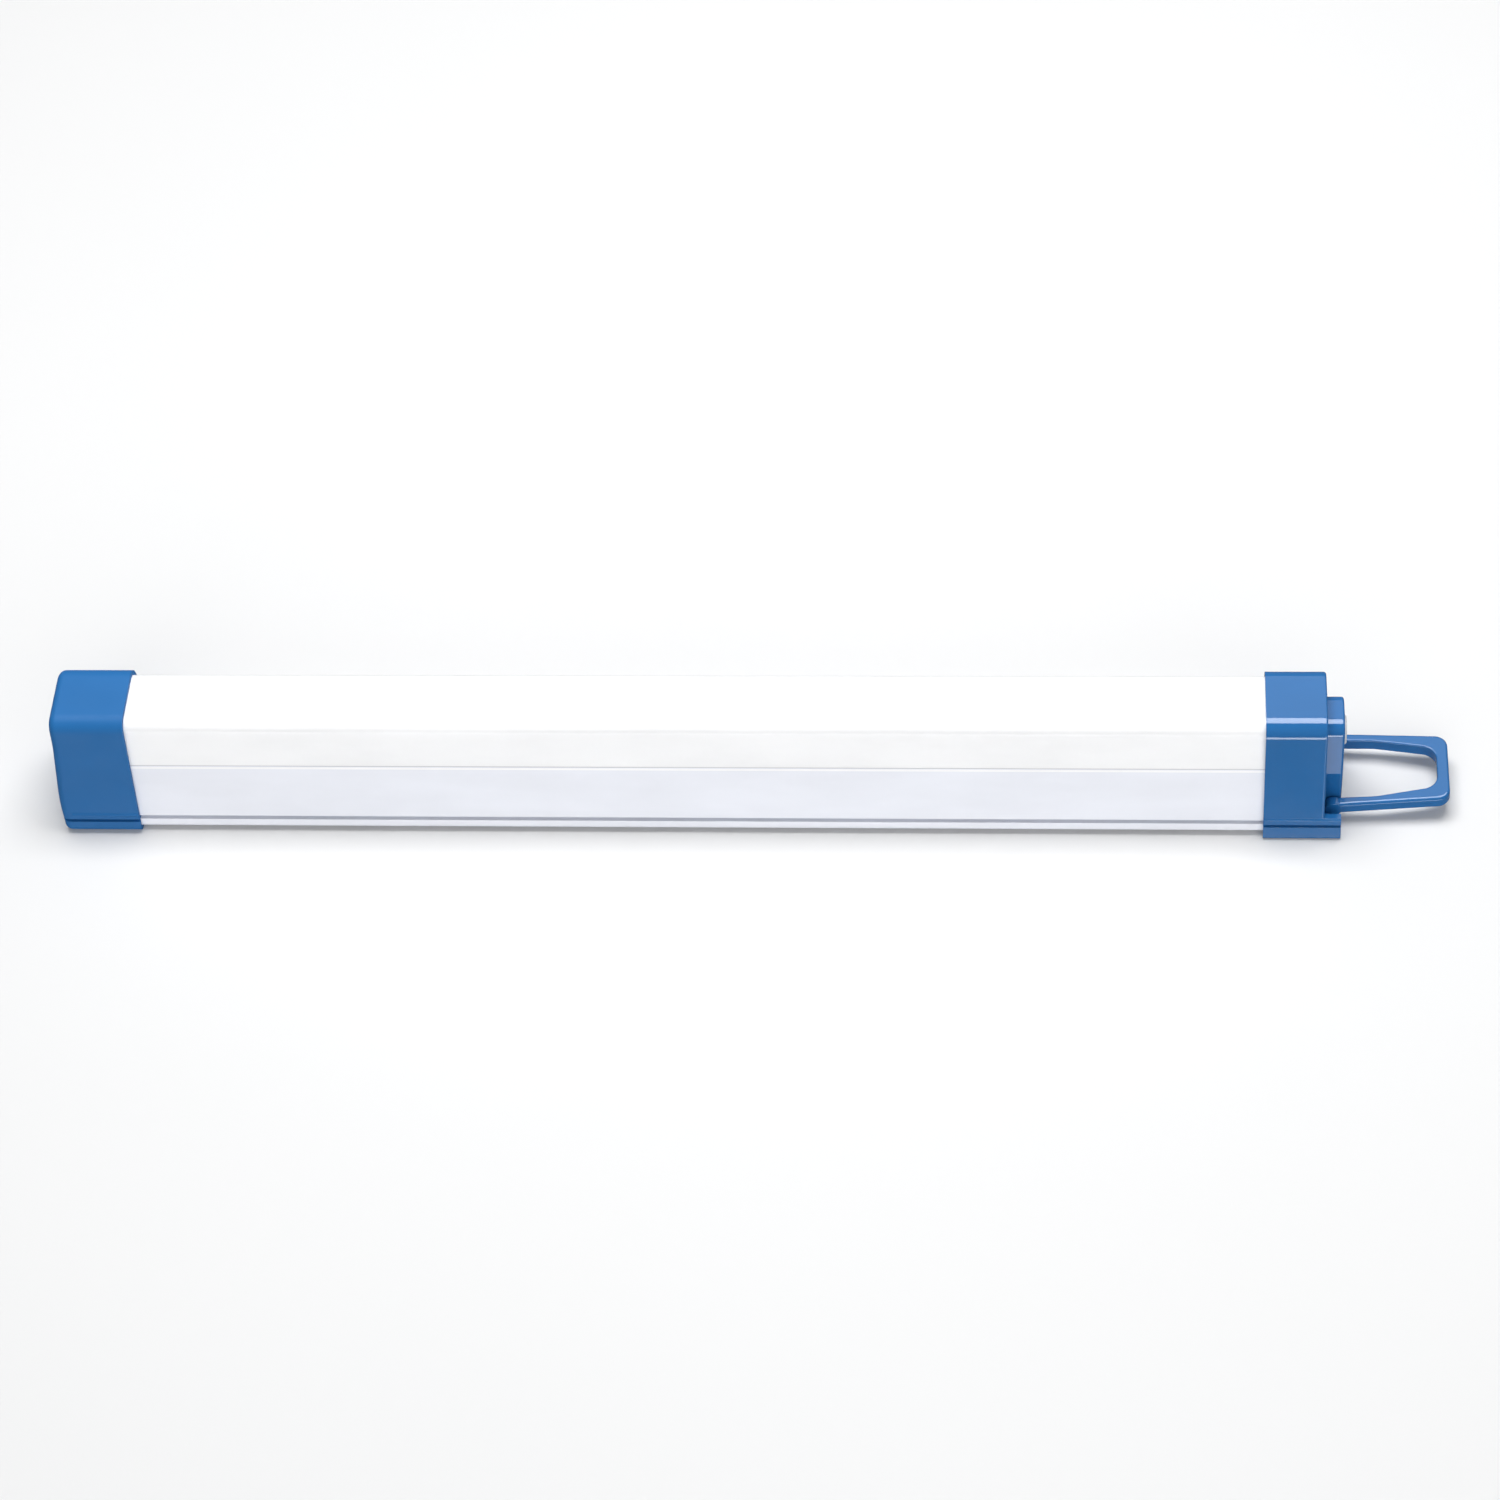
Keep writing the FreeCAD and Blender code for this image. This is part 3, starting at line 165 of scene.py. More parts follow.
class TubeLooks(bpy.types.PropertyGroup):
    """Colours and surface settings of the lamp."""

    cap_blue: bpy.props.FloatVectorProperty(
        name="Cap blue", description="Colour of the caps and the hook",
        subtype="COLOR", size=3, min=0, max=1, default=(0.017, 0.14, 0.385))
    housing_white: bpy.props.FloatVectorProperty(
        name="Housing white", description="Colour of the tray",
        subtype="COLOR", size=3, min=0, max=1, default=(0.83, 0.85, 0.92))
    diffuser_white: bpy.props.FloatVectorProperty(
        name="Diffuser white", description="Colour of the milky cover",
        subtype="COLOR", size=3, min=0, max=1, default=(0.985, 0.985, 0.995))
    key_grey: bpy.props.FloatVectorProperty(
        name="Key grey", description="Colour of the push button",
        subtype="COLOR", size=3, min=0, max=1, default=(0.62, 0.64, 0.66))
    led_yellow: bpy.props.FloatVectorProperty(
        name="Phosphor", description="Colour of the window in each light of the strip",
        subtype="COLOR", size=3, min=0, max=1, default=(0.86, 0.62, 0.08))
    cell_green: bpy.props.FloatVectorProperty(
        name="Cell wrap", description="Colour of the shrink wrap round the cells",
        subtype="COLOR", size=3, min=0, max=1, default=(0.03, 0.24, 0.12))
    grain: bpy.props.FloatProperty(
        name="Mould grain", description="Width of the fine grain that the mould leaves",
        subtype="DISTANCE", unit="LENGTH", min=0.00005, max=0.002, default=0.00022)
    edge_softness: bpy.props.FloatProperty(
        name="Edge softness", description="Radius of the soft moulded edges",
        subtype="DISTANCE", unit="LENGTH", min=0, max=0.001, default=0.00016)


class StageLooks(bpy.types.PropertyGroup):
    """The floor, the lights and the camera."""

    floor_grey: bpy.props.FloatVectorProperty(
        name="Floor", description="Colour of the floor",
        subtype="COLOR", size=3, min=0, max=1, default=(0.75, 0.75, 0.75))
    sky: bpy.props.FloatProperty(
        name="Ambient light", description="Strength of the light from all round",
        min=0, max=5, default=0.22)
    overhead: bpy.props.FloatProperty(
        name="Overhead light", description="Power of the soft panel overhead",
        subtype="POWER", unit="POWER", min=0, max=200, default=10.9)
    front: bpy.props.FloatProperty(
        name="Front light", description="Power of the soft panel in front",
        subtype="POWER", unit="POWER", min=0, max=200, default=16.2)
    sheen: bpy.props.FloatProperty(
        name="Sheen", description="Brightness of the panel that glosses over the rounded edges",
        min=0, max=50, default=9.5)
    sheen_back: bpy.props.FloatProperty(
        name="Sheen behind", description="Brightness of the panel that level gloss reflects",
        min=0, max=50, default=1.2)
    rim: bpy.props.FloatProperty(
        name="Rim line", description="Brightness of the strip that lines the lower end of rounded edges",
        min=0, max=50, default=8.0)
    boss_glow: bpy.props.FloatProperty(
        name="Boss glow", description="Brightness of the strip that the boss's flank reflects",
        min=0, max=50, default=2.2)
    target: bpy.props.FloatVectorProperty(
        name="Camera target", description="Point that the camera looks at",
        subtype="TRANSLATION", unit="LENGTH", size=3, default=(0.01366, 0, 0.0131))
    distance: bpy.props.FloatProperty(
        name="Camera distance", description="From the camera to its target",
        subtype="DISTANCE", unit="LENGTH", min=0.1, max=10, default=0.99819)
    height_angle: bpy.props.FloatProperty(
        name="Camera height", description="Camera's angle above the floor",
        subtype="ANGLE", unit="ROTATION", min=0, max=math.pi / 2, default=math.radians(51.95))
    side_angle: bpy.props.FloatProperty(
        name="Camera side", description="Camera's turn towards the hook",
        subtype="ANGLE", unit="ROTATION", min=-math.pi, max=math.pi, default=math.radians(8.5))
    roll: bpy.props.FloatProperty(
        name="Camera roll", description="Camera's turn about its own line of sight",
        subtype="ANGLE", unit="ROTATION", min=-math.pi, max=math.pi, default=math.radians(-6.53))
    lens: bpy.props.FloatProperty(
        name="Lens", description="Focal length in millimetres",
        subtype="DISTANCE_CAMERA", min=10, max=300, default=95.766)


# ---- making finishes --------------------------------------------------------------------------


class Finish:
    """A material being built: short calls that add and join its nodes."""

    def __init__(self, name, colour, roughness, **sockets):
        self.material = bpy.data.materials.new(name)
        self.material.use_nodes = True
        self.tree = self.material.node_tree
        self.shader = next(n for n in self.tree.nodes if n.type == "BSDF_PRINCIPLED")
        self.material.diffuse_color = (*colour, 1)
        self.shader.inputs["Base Color"].default_value = (*colour, 1)
        self.shader.inputs["Roughness"].default_value = roughness
        for socket, value in sockets.items():
            self.shader.inputs[socket.replace("_", " ")].default_value = value
        self.colour = self.rgb(colour)
        self.roughness = roughness
        self.normal = None
        self.place = self.node("ShaderNodeTexCoord").outputs["Object"]

    def node(self, kind, settings=None, **inputs):
        """Adds a node with its settings, and feeds the inputs that are named."""
        made = self.tree.nodes.new(kind)
        for key, value in (settings or {}).items():
            setattr(made, key, value)
        for key, value in inputs.items():
            self.feed(made.inputs[key.replace("_", " ")], value)
        return made

    def feed(self, socket, value):
        """Joins another node's output to a socket, or sets a plain value on it."""
        if isinstance(value, bpy.types.NodeSocket):
            self.tree.links.new(value, socket)
        else:
            socket.default_value = value

    def rgb(self, colour):
        """Output of a node that gives one colour."""
        made = self.node("ShaderNodeRGB")
        made.outputs[0].default_value = (*colour[:3], 1)
        return made.outputs[0]

    def noise(self, size, detail=2.0, stretch=(1, 1, 1)):
        """Noise whose features are about size metres wide."""
        place = self.node("ShaderNodeMapping", Vector=self.place, Scale=stretch).outputs["Vector"]
        return self.node("ShaderNodeTexNoise", Vector=place, Scale=1 / size, Detail=detail).outputs["Fac"]

    def spread(self, value, low, high, new_low=0.0, new_high=1.0):
        """Carries what lies between low and high over to the new range, and stops at its ends."""
        return self.node("ShaderNodeMapRange", {"clamp": True}, Value=value, From_Min=low, From_Max=high,
                         To_Min=new_low, To_Max=new_high).outputs["Result"]

    def tint(self, mask, colour):
        """Where the mask is 1 the colour is the given one."""
        mixed = self.node("ShaderNodeMix", {"data_type": "RGBA"})
        self.feed(mixed.inputs[0], mask)
        self.feed(mixed.inputs[MIX_FIRST], self.colour)
        self.feed(mixed.inputs[MIX_SECOND], self.rgb(colour))
        self.colour = mixed.outputs[MIX_RESULT]

    def shade(self, mask, low, high):
        """Brightness from low to high as the mask goes through its usual range."""
        value = self.spread(mask, *NOISE_SPAN, low, high)
        mixed = self.node("ShaderNodeHueSaturation", Color=self.colour, Value=value)
        self.colour = mixed.outputs["Color"]

    def rough(self, mask, low, high):
        """Roughness from low to high as the mask goes through its usual range."""
        self.roughness = self.spread(mask, *NOISE_SPAN, low, high)

    def soften(self, radius):
        """Soft moulded edges."""
        self.normal = self.node("ShaderNodeBevel", {"samples": 4}, Radius=radius).outputs["Normal"]

    def turned(self, angles):
        """Object coordinates turned by angles, for a pattern that lies in another plane."""
        return self.node("ShaderNodeMapping", Vector=self.place, Rotation=angles).outputs["Vector"]

    def bump(self, height, depth):
        """Relief that is depth metres deep where the height goes from 0 to 1."""
        made = self.node("ShaderNodeBump", Height=height, Distance=depth, Strength=1.0)
        if self.normal is not None:
            self.feed(made.inputs["Normal"], self.normal)
        self.normal = made.outputs["Normal"]

    def facing(self, *axes):
        """Mask of the faces that look along any of the given axes, one way or the other."""
        normal = self.node("ShaderNodeNewGeometry").outputs["Normal"]
        parts = self.node("ShaderNodeSeparateXYZ", Vector=normal)
        total = 0.0
        for axis in axes:
            size = self.math("ABSOLUTE", parts.outputs[axis])
            total = self.math("ADD", size, total)
        return self.spread(total, *FACING_SPAN)

    def between(self, low, high):
        """Mask of what lies between two heights."""
        height = self.node("ShaderNodeSeparateXYZ", Vector=self.place).outputs["Z"]
        over = self.spread(height, low - SEAM_BLUR, low + SEAM_BLUR)
        return self.math("MULTIPLY", over, self.spread(height, high - SEAM_BLUR, high + SEAM_BLUR, 1, 0))

    def math(self, operation, first, second=0.0):
        """Output of a math node."""
        made = self.node("ShaderNodeMath", {"operation": operation})
        self.feed(made.inputs[0], first)
        self.feed(made.inputs[1], second)
        return made.outputs[0]

    def bands(self, width, axis, low, high):
        """Mask of stripes across an axis, each about width metres from the next."""
        wave = self.node("ShaderNodeTexWave", {"bands_direction": axis}, Vector=self.place,
                         Scale=2 * math.pi / (WAVE_TURN * width), Distortion=0.0)
        return self.spread(wave.outputs["Fac"], low, high)

    def done(self):
        """Feeds the shader with what was built, and gives the material."""
        self.feed(self.shader.inputs["Base Color"], self.colour)
        self.feed(self.shader.inputs["Roughness"], self.roughness)
        if self.normal is not None:
            self.feed(self.shader.inputs["Normal"], self.normal)
        return self.material


def moulded(looks, name, colour, roughness, depth, coarse=1.0, **sockets):
    """Injection-moulded plastic: spark grain, faint flow shading, uneven polish and soft edges.

    The grain is coarse times as wide as the mould grain, and depth metres deep.
    """
    made = Finish(name, colour, roughness, **sockets)
    made.shade(made.noise(FLOW_SIZE, 3.0, FLOW_STRETCH), *FLOW_SHADE)
    made.rough(made.noise(POLISH_SIZE, 3.0), roughness * (1 - POLISH_SHARE),
               min(roughness * (1 + POLISH_SHARE), 1.0))
    made.soften(looks.edge_softness)
    made.bump(made.noise(looks.grain * coarse), depth)
    return made


def worn_metal(name, colour, roughness, marks, stretch=(1, 1, 1)):
    """Bare metal with fine rolling or turning marks, each marks metres wide."""
    made = Finish(name, colour, roughness, Metallic=1.0)
    lines = made.noise(marks, stretch=stretch)
    made.shade(made.noise(METAL_PATCH), *METAL_SHADE)
    made.rough(lines, roughness * METAL_ROUGH[0], min(roughness * METAL_ROUGH[1], 1.0))
    made.bump(lines, 6 * MICRON)
    return made.done()


def chip_resistor(looks, name, end_axis):
    """Black film resistor whose two ends are tinned."""
    made = moulded(looks, name, INK, roughness=0.35, depth=5 * MICRON)
    made.tint(made.facing(end_axis), SOLDER)
    return made.done()


def wear(material, *nodes):
    """Puts a finish on carried-over CAD nodes."""
    for name in nodes:
        slots = frame["nodes"][name].data.materials
        slots.clear()
        slots.append(material)


def wear_wires(looks, red_node, black_node):
    """Silky insulation on a red and a black lead, with bare copper at the cut ends."""
    for node, colour in ((red_node, WIRE_RED), (black_node, WIRE_BLACK)):
        made = moulded(looks, node + "_insulation", colour, roughness=0.4, depth=6 * MICRON, coarse=2)
        made.tint(made.facing("X"), COPPER)
        wear(made.done(), node)


# ---- detailed lights of the strip -------------------------------------------------------------


def lay_leds(looks):
    """Replaces each plain light by a white package with a sunk, slightly domed yellow window."""
    shape = bmesh.new()
    for low, high in islands(frame["nodes"]["leds"]):
        add_led(shape, low, high)
    mesh = bpy.data.meshes.new("led_packages")
    shape.to_mesh(mesh)
    shape.free()
    package = moulded(looks, "led_package", PACKAGE_WHITE, roughness=0.35, depth=4 * MICRON)
    package.tint(package.facing("X"), SOLDER)
    phosphor = moulded(looks, "led_phosphor", looks.led_yellow, roughness=0.3, depth=10 * MICRON,
                       coarse=0.5, Subsurface_Weight=0.3, Subsurface_Scale=0.0005)
    mesh.materials.append(package.done())
    mesh.materials.append(phosphor.done())
    leds = bpy.data.objects.new("led_packages", mesh)
    bpy.context.scene.collection.objects.link(leds)
    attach(leds, "lamp_body")
    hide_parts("leds")


def islands(node):
    """Lowest and highest corner of each separate solid of a node."""
    shape = bmesh.new()
    shape.from_mesh(node.data)
    bmesh.ops.remove_doubles(shape, verts=shape.verts, dist=JOIN)
    todo = set(shape.verts)
    corners = []
    while todo:
        queue = [todo.pop()]
        places = []
        while queue:
            vert = queue.pop()
            places.append(node.matrix_world @ vert.co)
            for edge in vert.link_edges:
                other = edge.other_vert(vert)
                if other in todo:
                    todo.remove(other)
                    queue.append(other)
        corners.append((Vector(map(min, *places)), Vector(map(max, *places))))
    shape.free()
    return sorted(corners, key=lambda pair: tuple(pair[0]))


def add_led(shape, low, high):
    """One light: a block with rounded uprights, a sunk frame and a domed window."""
    size, centre = high - low, (low + high) / 2
    place = Matrix.Translation(centre) @ Matrix.Diagonal((*size, 1))
    verts = bmesh.ops.create_cube(shape, size=1, matrix=place)["verts"]
    uprights = [e for e in set(edge for v in verts for edge in v.link_edges)
                if abs(e.verts[0].co.z - e.verts[1].co.z) > size.z / 2]
    bmesh.ops.bevel(shape, geom=uprights, offset=LED_CORNER, offset_type="OFFSET", affect="EDGES",
                    segments=2, profile=0.5, material=-1)
    top = max((f for f in shape.faces if (f.calc_center_median() - centre).length < size.length),
              key=lambda face: face.calc_center_median().z)
    bmesh.ops.inset_region(shape, faces=[top], thickness=LED_FRAME, use_even_offset=True)
    bmesh.ops.inset_region(shape, faces=[top], thickness=LED_SLOPE, depth=-LED_SUNK, use_even_offset=True)
    top.material_index = 1
    window = bmesh.ops.inset_region(shape, faces=[top], thickness=LED_FRAME, depth=LED_DOME,
                                    use_even_offset=True)["faces"]
    for face in window:
        face.material_index = 1


# ---- steps that dress the pieces --------------------------------------------------------------

OPERATORS = []


def operator(cls):
    """Puts an operator on the list that the panel shows and main runs, in order."""
    OPERATORS.append(cls)
    return cls


@operator
class LIGHT_TUBE_OT_end_cap(bpy.types.Operator):
    """Satin blue plain cap with a fine spark texture"""

    bl_idname = "light_tube.end_cap"
    bl_label = "End Cap"

    def execute(self, context):
        looks = context.scene.tube_looks
        made = moulded(looks, "blue_satin", looks.cap_blue, roughness=0.52, depth=12 * MICRON,
                       Specular_IOR_Level=0.12)
        wear(made.done(), "end_cap")
        return {"FINISHED"}


@operator
class LIGHT_TUBE_OT_hook_cap(bpy.types.Operator):
    """Glossy blue hook cap and hook"""

    bl_idname = "light_tube.hook_cap"
    bl_label = "Hook Cap and Hook"

    def execute(self, context):
        looks = context.scene.tube_looks
        made = moulded(looks, "blue_gloss", looks.cap_blue, roughness=0.08, depth=3 * MICRON, coarse=4,
                       Specular_IOR_Level=0.55)
        wear(made.done(), "hook_cap", "hook")
        return {"FINISHED"}


@operator
class LIGHT_TUBE_OT_diffuser(bpy.types.Operator):
    """Milky light cover that lets a little light through, with a painted shadow line along its lower edge"""

    bl_idname = "light_tube.diffuser"
    bl_label = "Diffuser"

    def execute(self, context):
        looks = context.scene.tube_looks
        made = moulded(looks, "milky_diffuser", looks.diffuser_white, roughness=0.24, depth=4 * MICRON,
                       coarse=3, Subsurface_Weight=0.25, Subsurface_Radius=(1.0, 0.98, 0.95),
                       Subsurface_Scale=0.0015)
        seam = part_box("diffuser")[0].z
        # painted shadow: a grey band along the cover's lower edge, where the gap to the tray is in shade
        made.tint(made.between(seam - SEAM_LINE, seam + SEAM_LINE), SEAM_PAINTED_SHADOW)
        wear(made.done(), "diffuser")
        return {"FINISHED"}


@operator
class LIGHT_TUBE_OT_housing(bpy.types.Operator):
    """Satin white tray with a painted highlight line below the cover and painted shade in its clip grooves
    """

    bl_idname = "light_tube.housing"
    bl_label = "Housing"

    def execute(self, context):
        looks = context.scene.tube_looks
        made = moulded(looks, "white_housing", looks.housing_white, roughness=0.36, depth=5 * MICRON)
        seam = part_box("diffuser")[0].z
        # painted highlight: a bright band on the tray just below the cover
        made.tint(made.between(seam - 4 * SEAM_LINE, seam - SEAM_LINE), TRAY_PAINTED_HIGHLIGHT)
        groove = next(m["pos_m"][2] for m in frame["record"]["mounts"] if m["name"] == "clip_grooves")
        # painted shade: a darker band at the height of the clip grooves
        made.tint(made.between(groove - GROOVE_HALF, groove + GROOVE_HALF), GROOVE_PAINTED_SHADE)
        wear(made.done(), "housing")
        return {"FINISHED"}


@operator
class LIGHT_TUBE_OT_controls(bpy.types.Operator):
    """Button, switch, charge socket and indicator lights"""

    bl_idname = "light_tube.controls"
    bl_label = "Controls"

    def execute(self, context):
        looks = context.scene.tube_looks
        key = moulded(looks, "button_rubber", looks.key_grey, roughness=0.55, depth=10 * MICRON)
        wear(key.done(), "push_button")
        switch = moulded(looks, "switch_black", INK, roughness=0.42, depth=10 * MICRON)
        wear(switch.done(), "switch_body")
        plunger = moulded(looks, "plunger_black", INK, roughness=0.5, depth=10 * MICRON)
        wear(plunger.done(), "switch_plunger")
        wear(worn_metal("socket_steel", STEEL, roughness=0.28, marks=0.0003, stretch=(1, 6, 6)),
             "charge_socket_shell")
        tongue = moulded(looks, "socket_insulator", INK, roughness=0.4, depth=6 * MICRON)
        tongue.tint(tongue.bands(CONTACT_PITCH, "Y", low=0.6, high=0.7), GOLD)
        wear(tongue.done(), "charge_socket_tongue")
        pipe = moulded(looks, "clear_pipe", CLEAR, roughness=0.08, depth=3 * MICRON, coarse=3,
                       Transmission_Weight=0.85, IOR=1.49)
        wear(pipe.done(), "indicator_light_pipes")
        chip = moulded(looks, "indicator_led", INDICATOR_CREAM, roughness=0.3, depth=4 * MICRON)
        chip.tint(chip.facing("Y"), SOLDER)
        wear(chip.done(), "indicator_leds")
        return {"FINISHED"}


@operator
class LIGHT_TUBE_OT_light_strip(bpy.types.Operator):
    """White strip with two rows of lights, resistors and leads"""

    bl_idname = "light_tube.light_strip"
    bl_label = "Light Strip"

    def execute(self, context):
        looks = context.scene.tube_looks
        board = moulded(looks, "board_white", STRIP_WHITE, roughness=0.3, depth=3 * MICRON)
        board.tint(board.bands(TRACE_PITCH, "Y", low=0.86, high=0.92), STRIP_TRACE)
        board.tint(board.facing("X", "Y"), STRIP_CUT)
        wear(board.done(), "led_strip_board")
        wear(chip_resistor(looks, "strip_resistors_finish", "X"), "strip_resistors")
        lay_leds(looks)
        wear_wires(looks, "strip_wire_red", "strip_wire_black")
        return {"FINISHED"}


@operator
class LIGHT_TUBE_OT_control_board(bpy.types.Operator):
    """Green board with its chips, coil and small parts, and the steel screws"""

    bl_idname = "light_tube.control_board"
    bl_label = "Control Board"

    def execute(self, context):
        looks = context.scene.tube_looks
        board = moulded(looks, "board_green", BOARD_GREEN, roughness=0.32, depth=4 * MICRON)
        traces = board.node("ShaderNodeTexBrick", {"offset": 0.37, "squash": 1.6},
                            Vector=board.turned((0, math.pi / 2, 0)), Scale=1.0, Mortar_Size=TRACE_GAP,
                            Brick_Width=TRACE_LENGTH, Row_Height=TRACE_ROW)
        board.tint(traces.outputs["Fac"], BOARD_TRACE)
        board.tint(board.facing("Y", "Z"), BOARD_CUT)
        wear(board.done(), "control_board")
        chips = moulded(looks, "chip_black", INK, roughness=0.5, depth=8 * MICRON)
        chips.tint(chips.facing("Y"), SOLDER)
        wear(chips.done(), "board_chips")
        coil = moulded(looks, "coil_ferrite", FERRITE, roughness=0.6, depth=10 * MICRON)
        coil.tint(coil.bands(WINDING_PITCH, "X", low=0.35, high=0.6), WINDING)
        wear(coil.done(), "board_coil")
        wear(chip_resistor(looks, "board_passives_finish", "Y"), "board_passives")
        wear(worn_metal("screw_steel", STEEL, roughness=0.3, marks=0.0002),
             "control_board_screws", "end_cap_screws", "hook_cap_screws")
        return {"FINISHED"}


@operator
class LIGHT_TUBE_OT_battery(bpy.types.Operator):
    """Wrapped cells with their paper rings, nickel straps, foam and leads"""

    bl_idname = "light_tube.battery"
    bl_label = "Battery"

    def execute(self, context):
        looks = context.scene.tube_looks
        cells = moulded(looks, "cell_wrap", looks.cell_green, roughness=0.25, depth=20 * MICRON, coarse=6)
        cells.shade(cells.noise(WRAP_RIPPLE, stretch=(0.2, 1, 1)), 0.9, 1.08)
        cells.tint(cells.facing("X"), CELL_END)
        wear(cells.done(), "battery_cells")
        paper = moulded(looks, "ring_paper", RING_PAPER, roughness=0.85, depth=20 * MICRON,
                        coarse=PAPER_GRAIN / looks.grain)
        paper.shade(paper.noise(PAPER_FIBRE, 4.0, (1, 3, 1)), 0.86, 1.08)
        wear(paper.done(), "cell_rings")
        wear(worn_metal("nickel", NICKEL, roughness=0.26, marks=0.00025, stretch=(1, 1, 8)),
             "nickel_straps")
        foam = Finish("foam_grey", FOAM_GREY, roughness=0.95)
        pores = foam.node("ShaderNodeTexVoronoi", Vector=foam.place, Scale=1 / FOAM_PORE).outputs["Distance"]
        foam.shade(pores, 0.75, 1.2)
        foam.bump(pores, 200 * MICRON)
        wear(foam.done(), "foam_pads")
        wear_wires(looks, "battery_wire_red", "battery_wire_black")
        return {"FINISHED"}


@operator
class LIGHT_TUBE_OT_magnets(bpy.types.Operator):
    """Nickel-plated disc magnets in the floor of both caps"""

    bl_idname = "light_tube.magnets"
    bl_label = "Magnets"

    def execute(self, context):
        wear(worn_metal("magnet_nickel", MAGNET_PLATE, roughness=0.16, marks=0.0006),
             "end_cap_magnets", "hook_cap_magnets")
        return {"FINISHED"}


# ---- studio -----------------------------------------------------------------------------------


@operator
class LIGHT_TUBE_OT_stage(bpy.types.Operator):
    """Pale floor, soft lights and the camera"""

    bl_idname = "light_tube.stage"
    bl_label = "Stage"

    def execute(self, context):
        stage = context.scene.tube_stage
        lay_floor(stage)
        overhead = soft_panel("overhead_panel", OVERHEAD_PLACE, OVERHEAD_SIZE, stage.overhead)
        front = soft_panel("front_panel", FRONT_PLACE, FRONT_SIZE, stage.front)
        overhead.visible_glossy = front.visible_glossy = False
        gloss_panel("sheen_panel", *SHEEN_SPAN, stage.sheen)
        gloss_panel("sheen_back_panel", *SHEEN_BACK_SPAN, stage.sheen_back)
        gloss_panel("rim_strip", *RIM_SPAN, stage.rim)
        gloss_panel("boss_strip", *BOSS_SPAN, stage.boss_glow)
        world = bpy.data.worlds.new("studio_air")
        world.use_nodes = True
        background = next(n for n in world.node_tree.nodes if n.type == "BACKGROUND")
        background.inputs["Color"].default_value = (*AIR_WHITE, 1)
        background.inputs["Strength"].default_value = stage.sky
        context.scene.world = world
        context.scene.view_settings.view_transform = "Standard"
        place_camera(context.scene, stage)
        return {"FINISHED"}


def lay_floor(stage):
    """Wide plain floor in the plane that the lamp rests on.

    Gloss doesn't see it and it blocks no light, so the low gloss panels shine up from below it.
    """
    shape = bmesh.new()
    bmesh.ops.create_grid(shape, x_segments=2, y_segments=2, size=FLOOR_HALF)
    bmesh.ops.translate(shape, verts=shape.verts, vec=(0, 0, CAD_BOX[0].z))
    mesh = bpy.data.meshes.new("studio_floor")
    shape.to_mesh(mesh)
    shape.free()
    floor = bpy.data.objects.new("studio_floor", mesh)
    bpy.context.scene.collection.objects.link(floor)
    paper = Finish("pale_floor", stage.floor_grey, roughness=0.75)
    paper.shade(paper.noise(FLOOR_PATCH), 0.99, 1.01)
    paper.bump(paper.noise(FLOOR_GRAIN), 10 * MICRON)
    mesh.materials.append(paper.done())
    floor.visible_glossy = False
    floor.visible_shadow = False


def soft_panel(name, place, size, power, aim=Vector((0, 0, 0))):
    """Rectangular soft light that faces a point, which is below the lamp's middle if none is given."""
    light = bpy.data.lights.new(name, "AREA")
    light.shape = "RECTANGLE"
    light.size, light.size_y = size
    light.energy = power
    lamp = bpy.data.objects.new(name, light)
    lamp.location = place
    lamp.rotation_euler = (aim - place).to_track_quat("-Z", "Y").to_euler()
    bpy.context.scene.collection.objects.link(lamp)
    return lamp


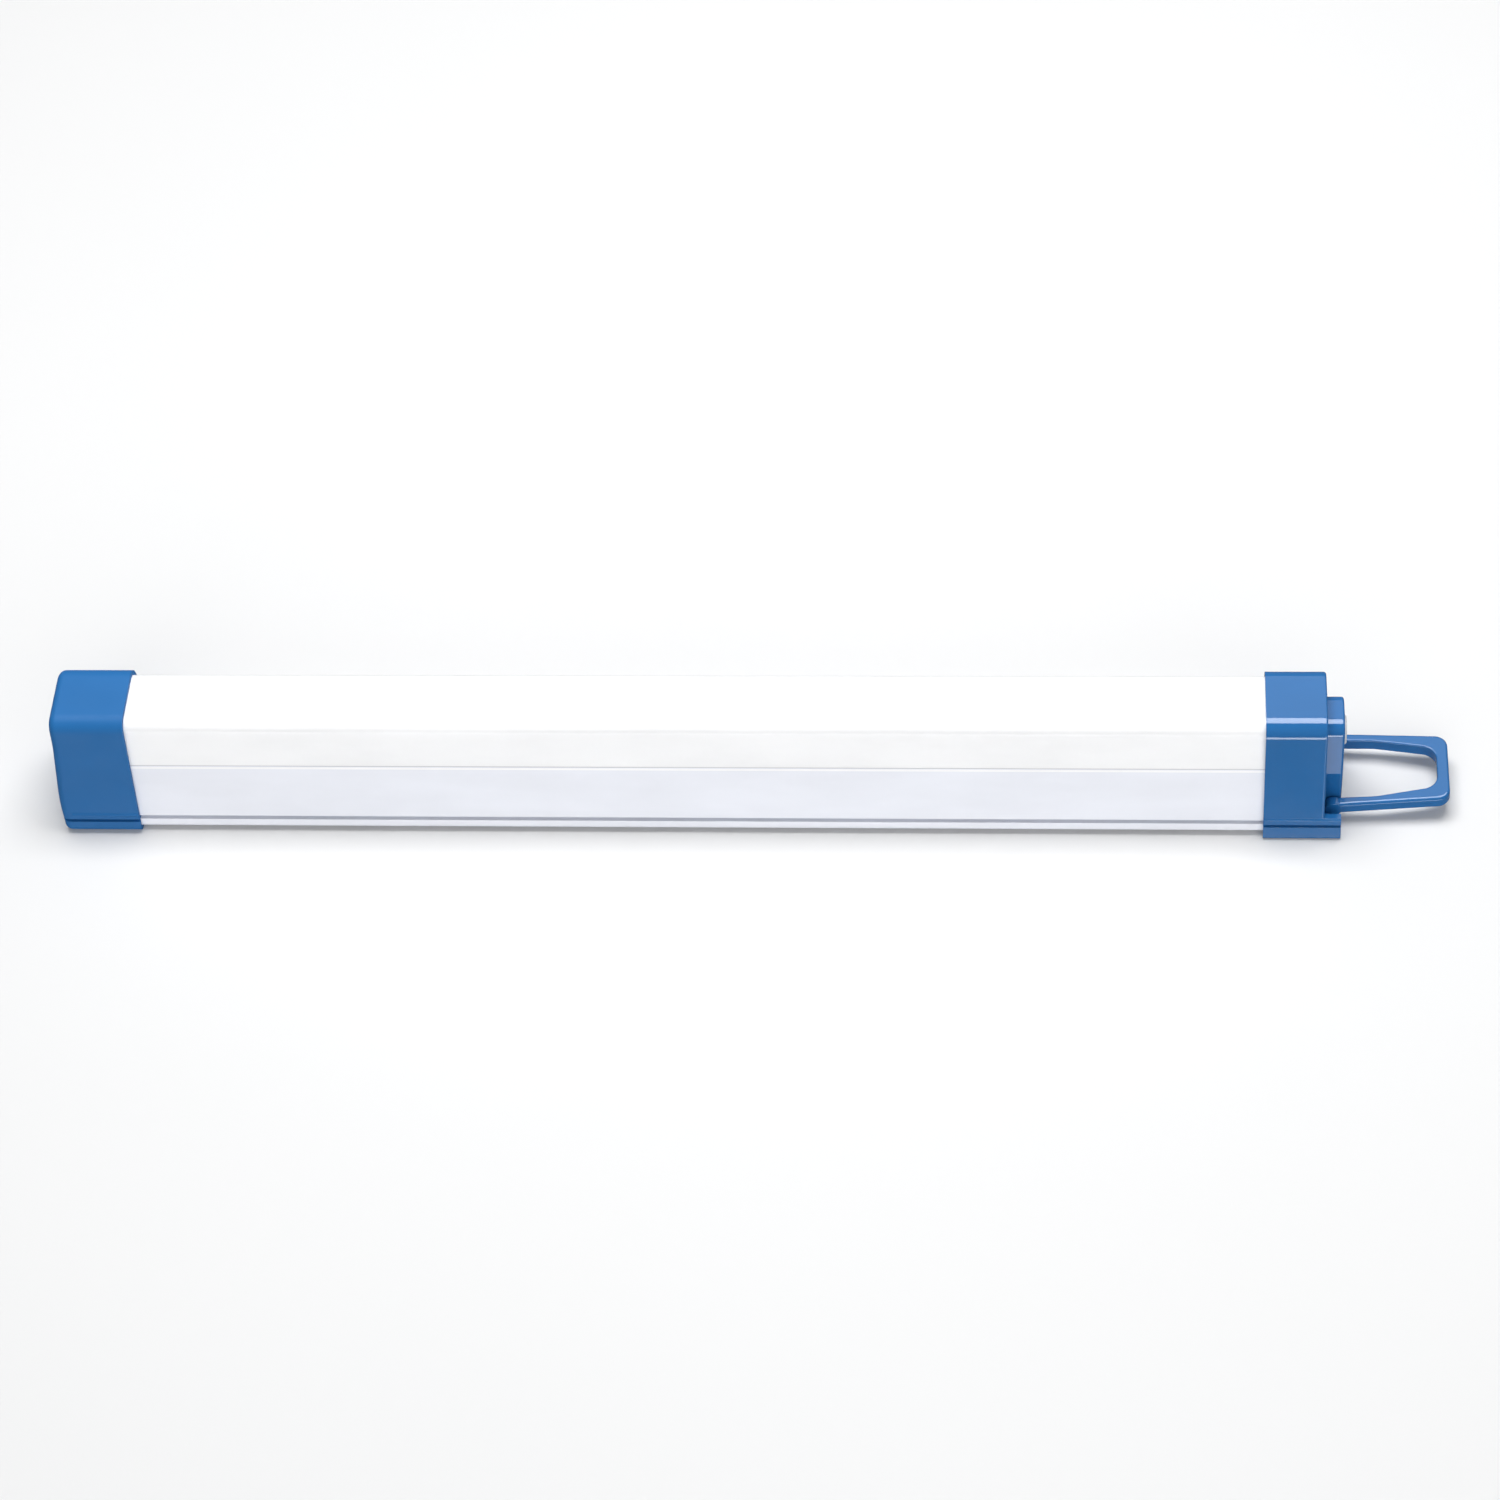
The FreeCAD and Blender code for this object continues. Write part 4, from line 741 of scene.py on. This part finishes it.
def gloss_panel(name, start, end, brightness):
    """Long soft light beside the hook cap's front ridge, seen only by gloss.

    It spans the angles from start to end, in degrees from straight up, positive towards the front.
    """
    low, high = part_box("hook_cap")
    half_top = low.y / 2             # the cap's top is about half as wide as its base
    ridge = Vector(((low.x + high.x) / 2, half_top, high.z))
    lean = math.radians((start + end) / 2)
    width = 2 * GLOSS_FAR * math.tan(math.radians(end - start) / 2)
    place = ridge + GLOSS_FAR * Vector((0, -math.sin(lean), math.cos(lean)))
    power = brightness * math.pi * GLOSS_LENGTH * width
    lamp = soft_panel(name, place, (GLOSS_LENGTH, width), power, ridge)
    lamp.visible_diffuse = False
    lamp.visible_transmission = False


def place_camera(scene, stage):
    """Camera on its own line of sight, with its roll."""
    high, side = stage.height_angle, stage.side_angle
    ahead = Vector((-math.sin(side) * math.cos(high), math.cos(side) * math.cos(high), -math.sin(high)))
    level = Vector((math.cos(side), math.sin(side), 0))
    rise = level.cross(ahead)
    right = level * math.cos(stage.roll) + rise * math.sin(stage.roll)
    top = rise * math.cos(stage.roll) - level * math.sin(stage.roll)
    turn = Matrix((right, top, -ahead)).transposed().to_4x4()
    camera = bpy.data.objects.new("studio_camera", bpy.data.cameras.new("studio_camera"))
    camera.matrix_world = Matrix.Translation(Vector(stage.target) - ahead * stage.distance) @ turn
    camera.data.lens = stage.lens
    camera.data.clip_start, camera.data.clip_end = CLIP_NEAR, CLIP_FAR
    scene.collection.objects.link(camera)
    scene.camera = camera


# ---- panel and registration -------------------------------------------------------------------


class LIGHT_TUBE_PT_panel(bpy.types.Panel):
    """Lists the steps that dress the lamp"""

    bl_label = "Light Tube"
    bl_idname = "LIGHT_TUBE_PT_panel"
    bl_space_type = "VIEW_3D"
    bl_region_type = "UI"
    bl_category = "Light Tube"

    def draw(self, context):
        for step in OPERATORS:
            self.layout.operator(step.bl_idname)
        for group in (context.scene.tube_looks, context.scene.tube_stage):
            box = self.layout.box()
            for name in group.__annotations__:
                box.prop(group, name)


def register():
    for cls in (TubeLooks, StageLooks, *OPERATORS, LIGHT_TUBE_PT_panel):
        bpy.utils.register_class(cls)
    bpy.types.Scene.tube_looks = bpy.props.PointerProperty(type=TubeLooks)
    bpy.types.Scene.tube_stage = bpy.props.PointerProperty(type=StageLooks)


def unregister():
    del bpy.types.Scene.tube_stage
    del bpy.types.Scene.tube_looks
    for cls in (LIGHT_TUBE_PT_panel, *reversed(OPERATORS), StageLooks, TubeLooks):
        bpy.utils.unregister_class(cls)


def main():
    register()
    for step in OPERATORS:
        getattr(bpy.ops.light_tube, step.bl_idname.split(".")[1])()


if __name__ == "__main__":
    main()
